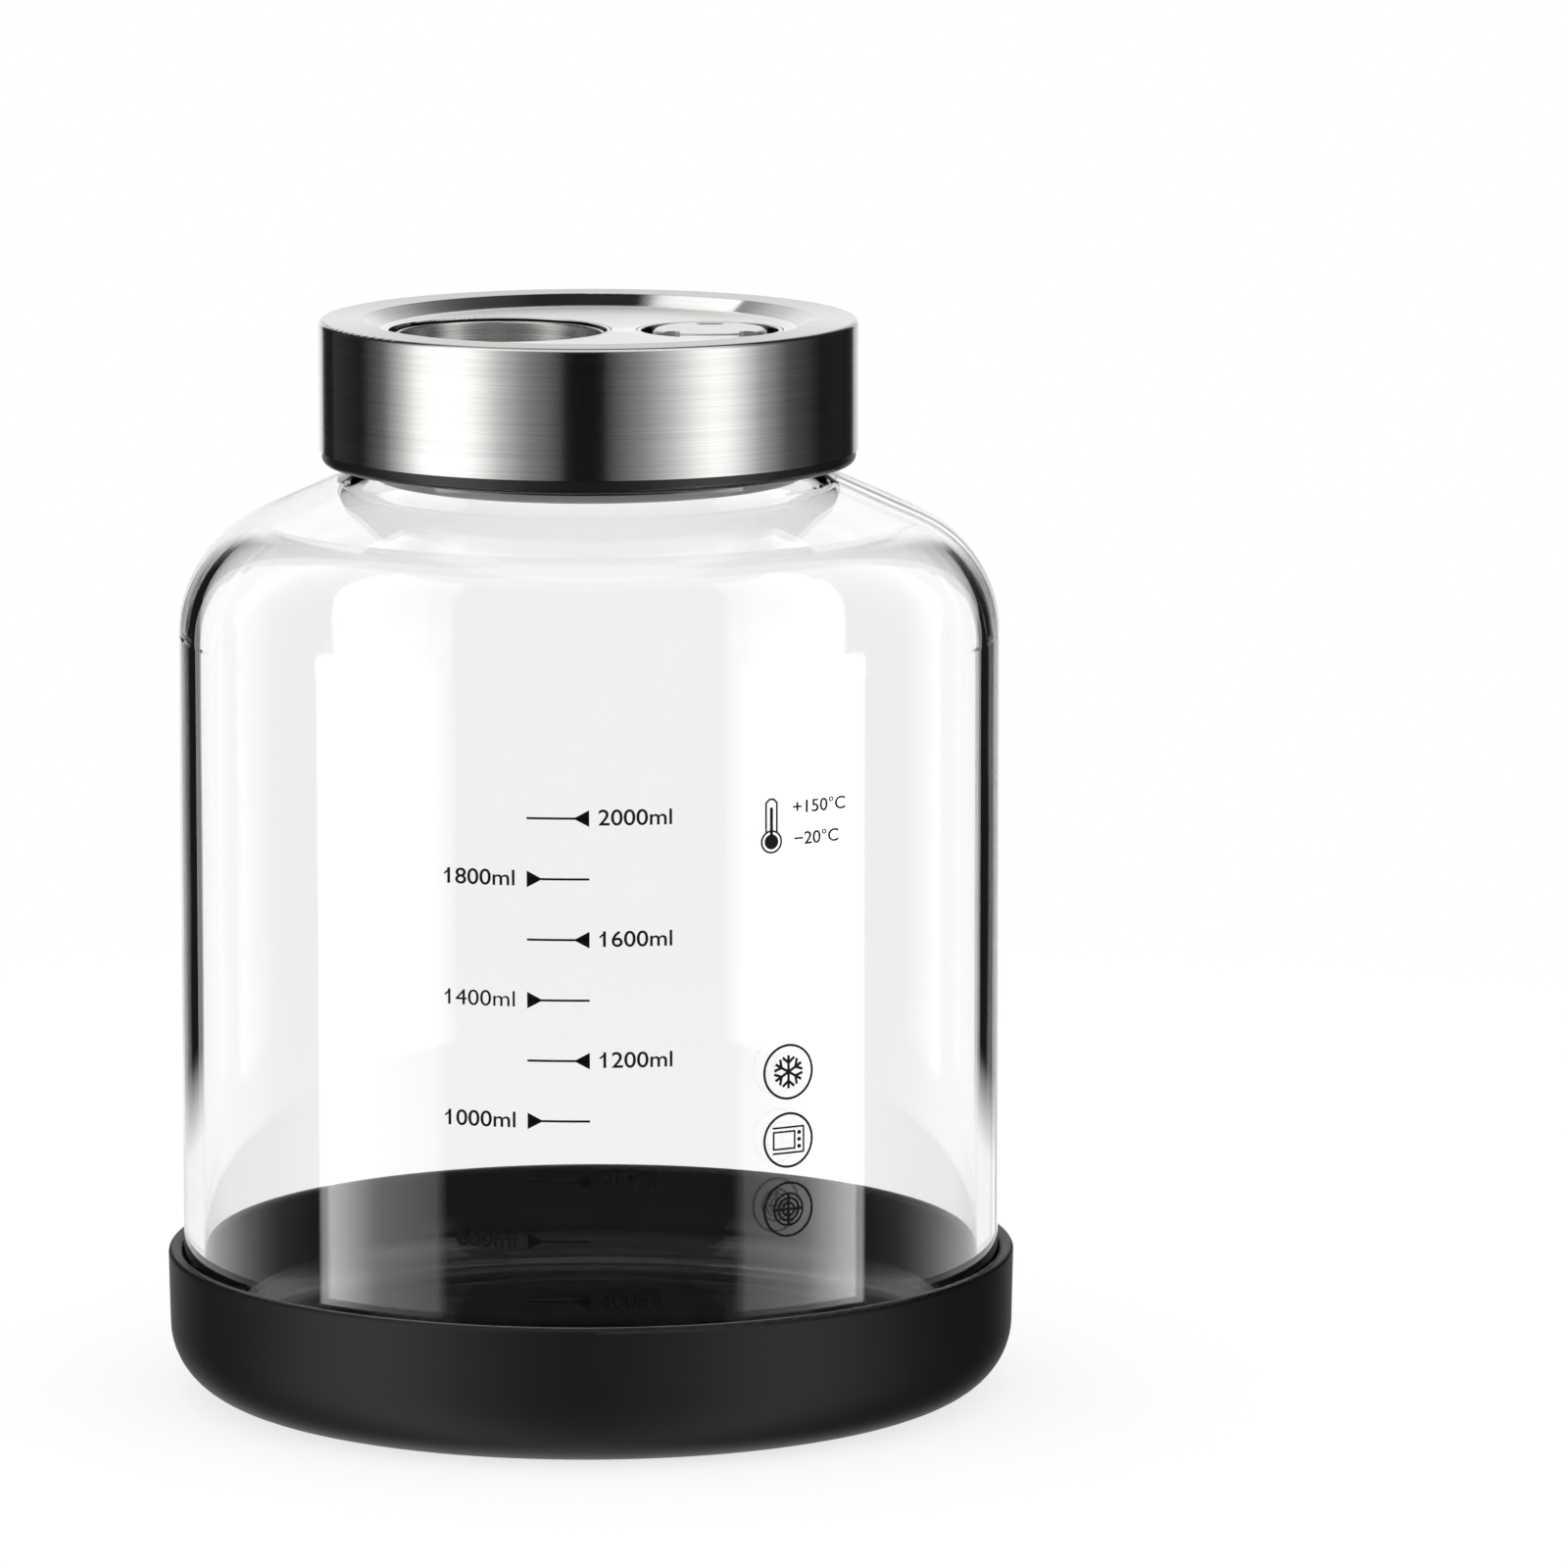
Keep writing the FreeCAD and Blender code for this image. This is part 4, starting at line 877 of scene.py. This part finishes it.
left_box = soft_box("soft_box_left", azimuth=-61, distance=1.0, level=0.11,
                    wide=0.68, tall=1.7, radiance=0.5)
right_box = soft_box("soft_box_right", azimuth=61, distance=1.0, level=0.11,
                     wide=0.60, tall=1.7, radiance=0.5)
left_box.visible_glossy = right_box.visible_glossy = False
soft_box("soft_box_back", azimuth=-150.5, distance=0.75, level=1.17, wide=0.32, tall=0.4, radiance=1.3)

# %% [markdown]
# ## Directions in the room
#
# The rest of the light comes from the world, which is all that lies round the jar. It could be a
# picture of a studio. A few greys by direction are enough, and easy to change: the way round, from -180
# to 180 degrees with the camera at 0, picks a grey from a ramp.

# %% Directions in the room
world = bpy.data.worlds.new("studio")
bpy.context.scene.world = world
world.use_nodes = True
tree = world.node_tree
tree.nodes.clear()
direction = add_node(tree, "TexCoord").outputs["Generated"]
axes = add_node(tree, "SeparateXYZ", links={"Vector": direction}).outputs
front = add_node(tree, "Math", {"operation": "MULTIPLY"}, {1: -1.0}, {0: axes["Y"]}).outputs["Value"]
azimuth = add_node(tree, "Math", {"operation": "ARCTAN2"},
                   links={0: axes["X"], 1: front}).outputs["Value"]
way_round = add_node(tree, "MapRange", values={"From Min": -math.pi, "From Max": math.pi},
                     links={"Value": azimuth}).outputs["Result"]


def stops_round(greys):
    """A ramp's stops for the way round, from pairs of an angle in degrees and a grey."""
    return [((angle + 180) / 360, (grey, grey, grey, 1)) for angle, grey in greys]


print("world", world.name)

# %% [markdown]
# ## The studio that metal mirrors
#
# Steel needs something dark to show, or it looks like white paint. Round the jar stand pale and dark
# walls: white behind, black to the sides, two soft bright columns for the front boxes, and black where
# the camera stands. Overhead it is dark, but for a pale roof towards the front, which draws the fine
# bright line along the lid's rim. A height is a sine here: 0 is level with the jar, 1 straight up.

# %% The studio that metal mirrors
WALLS = ((-180, 1.0), (-165, 0.95), (-152, 0.45), (-138, 0.04), (-112, 0.01), (-97, 0.16),
         (-86, 0.7), (-77, 1.4), (-70, 1.6), (-54, 1.6), (-46, 1.25), (-38, 0.72), (-26, 0.3),
         (-11, 0.08), (-9, 0.0), (7, 0.0), (9, 0.06), (25, 0.33), (38, 0.75), (48, 1.25), (56, 1.5),
         (63, 1.4), (72, 0.9), (80, 0.45), (95, 0.1), (118, 0.01), (148, 0.02), (158, 0.4),
         (170, 0.95), (180, 1.0))
ROOF = 1.1
DARK_OVERHEAD = 0.02
walls = add_node(tree, "ValToRGB", links={"Fac": way_round}, stops=stops_round(WALLS)).outputs["Color"]
overhead = add_node(tree, "MapRange", values={"From Min": 0.55, "From Max": 0.9,
                                              "To Min": 1.0, "To Max": DARK_OVERHEAD},
                    links={"Value": axes["Z"]}).outputs["Result"]
room = add_node(tree, "Mix", {"data_type": "RGBA", "blend_type": "MULTIPLY"}, {0: 1.0},
                {6: walls, 7: overhead}).outputs[2]
rise = add_node(tree, "MapRange", values={"From Min": 0.68, "From Max": 0.76, "To Max": ROOF},
                links={"Value": axes["Z"]}).outputs["Result"]
ahead = add_node(tree, "MapRange", values={"From Min": 0.2, "From Max": -0.05},
                 links={"Value": axes["Y"]}).outputs["Result"]
roof = add_node(tree, "Math", {"operation": "MULTIPLY"}, links={0: rise, 1: ahead}).outputs["Value"]
studio = add_node(tree, "Mix", {"data_type": "RGBA", "blend_type": "ADD"}, {0: 1.0},
                  {6: room, 7: roof}).outputs[2]
print(len(WALLS), "greys round the studio")

# %% [markdown]
# ## The room that glass mirrors
#
# Glass throws back only a few hundredths of the light, and what it throws back lies over all that is
# seen through it. Pale walls in front would lay a grey veil over the dark cup. So the smooth glass
# mirrors a plainer room: dark in front, white behind, and two tall panels, brightest at their outer
# edge, which draw the two clear-cut windows on the jar. They end a little above the horizon, so the
# windows end under the shoulder.

# %% The room that glass mirrors
BACKDROP = ((-180, 1.0), (-125, 0.9), (-100, 0.2), (-80, 0.07),
            (80, 0.07), (100, 0.2), (125, 0.9), (180, 1.0))
PANELS = ((-180, 0.0), (-81, 0.0), (-80, 5.5), (-62, 1.4), (-42, 0.6), (-41, 0.0),
          (43, 0.0), (44, 0.6), (64, 1.4), (83, 5.5), (84, 0.0), (180, 0.0))
PANELS_END = (0.15, 0.05)
backdrop = add_node(tree, "ValToRGB", links={"Fac": way_round},
                    stops=stops_round(BACKDROP)).outputs["Color"]
panels = add_node(tree, "ValToRGB", links={"Fac": way_round},
                  stops=stops_round(PANELS)).outputs["Color"]
under_end = add_node(tree, "MapRange", values={"From Min": PANELS_END[0], "From Max": PANELS_END[1]},
                     links={"Value": axes["Z"]}).outputs["Result"]
glass_room = add_node(tree, "Mix", {"data_type": "RGBA", "blend_type": "ADD"},
                      links={0: under_end, 6: backdrop, 7: panels}).outputs[2]
print(len(PANELS), "greys in the panels")

# %% [markdown]
# ## Which ray sees which room
#
# Light Path tells how a ray came to leave the scene. The camera, and a ray that went straight through
# the glass, see white. A ray that was mirrored on its way sees one of the two rooms: glass mirrors
# perfectly, which Blender calls a singular ray, and brushed metal doesn't. All other rays only carry
# light, and see an even grey that lights the jar from all round.

# %% Which ray sees which room
AMBIENT = 0.7
path = add_node(tree, "LightPath").outputs
mirrored = add_node(tree, "Mix", {"data_type": "RGBA"},
                    links={0: path["Is Singular Ray"], 6: studio, 7: glass_room}).outputs[2]
bounced = add_node(tree, "Math", {"operation": "GREATER_THAN"}, {1: 0.5},
                   {0: path["Glossy Depth"]}).outputs["Value"]
indirect = add_node(tree, "Mix", {"data_type": "RGBA"}, {6: (AMBIENT, AMBIENT, AMBIENT, 1)},
                    {0: bounced, 7: mirrored}).outputs[2]
straight = add_node(tree, "Math", {"operation": "SUBTRACT"},
                    links={0: path["Is Transmission Ray"], 1: bounced}).outputs["Value"]
direct = add_node(tree, "Math", {"operation": "MAXIMUM"},
                  links={0: path["Is Camera Ray"], 1: straight}).outputs["Value"]
seen = add_node(tree, "Mix", {"data_type": "RGBA"}, {7: (1, 1, 1, 1)},
                {0: direct, 6: indirect}).outputs[2]
background = add_node(tree, "Background", links={"Color": seen})
add_node(tree, "OutputWorld", links={"Surface": background.outputs["Background"]})
print("even light of", AMBIENT)

# %% [markdown]
# ## The floor
#
# The floor is a pale round sheet of paper. A plain white floor under these lights would come out grey.
# So part of its white is its own glow and part is light that it reflects: it stays pale and still
# takes the soft shadow of the jar. Towards its edge it fades to the white of the background. Mirrored
# rays pass through it, as a photographer would keep the table out of the reflections with black card.

# %% The floor
FLOOR_R = 0.8
FADE_FROM = 0.16
FADE_TO = 0.5
# Gives the eye an even white with a soft shadow, and no edge.
paper = bpy.data.materials.new("White paper sweep")
paper.use_nodes = True
tree = paper.node_tree
tree.nodes.clear()
place = add_node(tree, "TexCoord").outputs["Object"]
reach = add_node(tree, "VectorMath", {"operation": "LENGTH"}, links={0: place}).outputs["Value"]
fade = add_node(tree, "MapRange", values={"From Min": FADE_FROM, "From Max": FADE_TO},
                links={"Value": reach}).outputs["Result"]
glow = add_node(tree, "Emission", values={"Color": linear("#e2e2e2")}).outputs["Emission"]
matte = add_node(tree, "BsdfDiffuse", values={"Color": linear("#a2a2a2")}).outputs["BSDF"]
near = add_node(tree, "AddShader", links={0: glow, 1: matte}).outputs["Shader"]
far = add_node(tree, "Emission", values={"Color": linear("#ffffff")}).outputs["Emission"]
sheet = add_node(tree, "MixShader", links={0: fade, 1: near, 2: far}).outputs["Shader"]
bounced = add_node(tree, "Math", {"operation": "GREATER_THAN"}, {1: 0.5},
                   {0: add_node(tree, "LightPath").outputs["Glossy Depth"]}).outputs["Value"]
clear = add_node(tree, "BsdfTransparent").outputs["BSDF"]
seen = add_node(tree, "MixShader", links={0: bounced, 1: sheet, 2: clear}).outputs["Shader"]
add_node(tree, "OutputMaterial", links={"Surface": seen})
art = bmesh.new()
bmesh.ops.create_circle(art, cap_ends=True, segments=96, radius=FLOOR_R)
floor = make_piece("floor", art, paper)
floor.visible_glossy = False

# %% [markdown]
# ## The flags
#
# Two dark flags stand behind the jar, left and right. They are how photographers draw the outline of
# glass on white: at its edges the wall bends the view far to the side, onto the flags, and turns dark.
# A ray that has gone through both walls of the jar sees the flags as white, so that they don't show
# through the jar from another side.

# %% The flags
FLAG_BACK = 0.2
FLAG_TALL = 0.9
FLAG_NEAR = 0.126
FLAG_FAR = 0.235
SOFT_EDGE = 0.02
BOTH_WALLS = 3.5
# Gives the eye a dark line inside each edge of the glass, and is never seen itself.
velvet = bpy.data.materials.new("Black flag with a soft edge")
velvet.use_nodes = True
tree = velvet.node_tree
tree.nodes.clear()
place = add_node(tree, "TexCoord").outputs["Object"]
axes = add_node(tree, "SeparateXYZ", links={"Vector": place}).outputs
aside = add_node(tree, "Math", {"operation": "ABSOLUTE"}, links={0: axes["X"]}).outputs["Value"]
inward = add_node(tree, "MapRange", values={"From Min": FLAG_NEAR, "From Max": FLAG_NEAR + SOFT_EDGE},
                  links={"Value": aside}).outputs["Result"]
upward = add_node(tree, "MapRange", values={"From Min": 0.0, "From Max": SOFT_EDGE},
                  links={"Value": axes["Z"]}).outputs["Result"]
one_wall = add_node(tree, "Math", {"operation": "LESS_THAN"}, {1: BOTH_WALLS},
                    {0: add_node(tree, "LightPath").outputs["Transmission Depth"]}).outputs["Value"]
soft = add_node(tree, "Math", {"operation": "MULTIPLY"}, links={0: inward, 1: upward}).outputs["Value"]
shade = add_node(tree, "Math", {"operation": "MULTIPLY"}, links={0: soft, 1: one_wall}).outputs["Value"]
light = add_node(tree, "MapRange", values={"To Min": 1.0, "To Max": 0.01},
                 links={"Value": shade}).outputs["Result"]
glow = add_node(tree, "Emission", links={"Color": light}).outputs["Emission"]
add_node(tree, "OutputMaterial", links={"Surface": glow})
for name, side in (("flag_left", -1), ("flag_right", 1)):
    art = bmesh.new()
    made = bmesh.ops.create_grid(art, x_segments=1, y_segments=1, size=0.5)["verts"]
    bmesh.ops.scale(art, vec=(FLAG_FAR - FLAG_NEAR, FLAG_TALL, 1), verts=made)
    bmesh.ops.rotate(art, cent=(0, 0, 0), matrix=Matrix.Rotation(math.radians(90), 3, "X"), verts=made)
    middle = (side * (FLAG_NEAR + FLAG_FAR) / 2, FLAG_BACK, FLAG_TALL / 2)
    bmesh.ops.translate(art, vec=middle, verts=made)
    flag = make_piece(name, art, velvet)
    flag.visible_camera = False
    flag.visible_diffuse = False
    flag.visible_shadow = False

# %% [markdown]
# ## Colours as they are
#
# The Standard view shows a colour as it is written, where Blender's own default would soften it like
# film.

# %% Colours as they are
bpy.context.scene.view_settings.view_transform = "Standard"
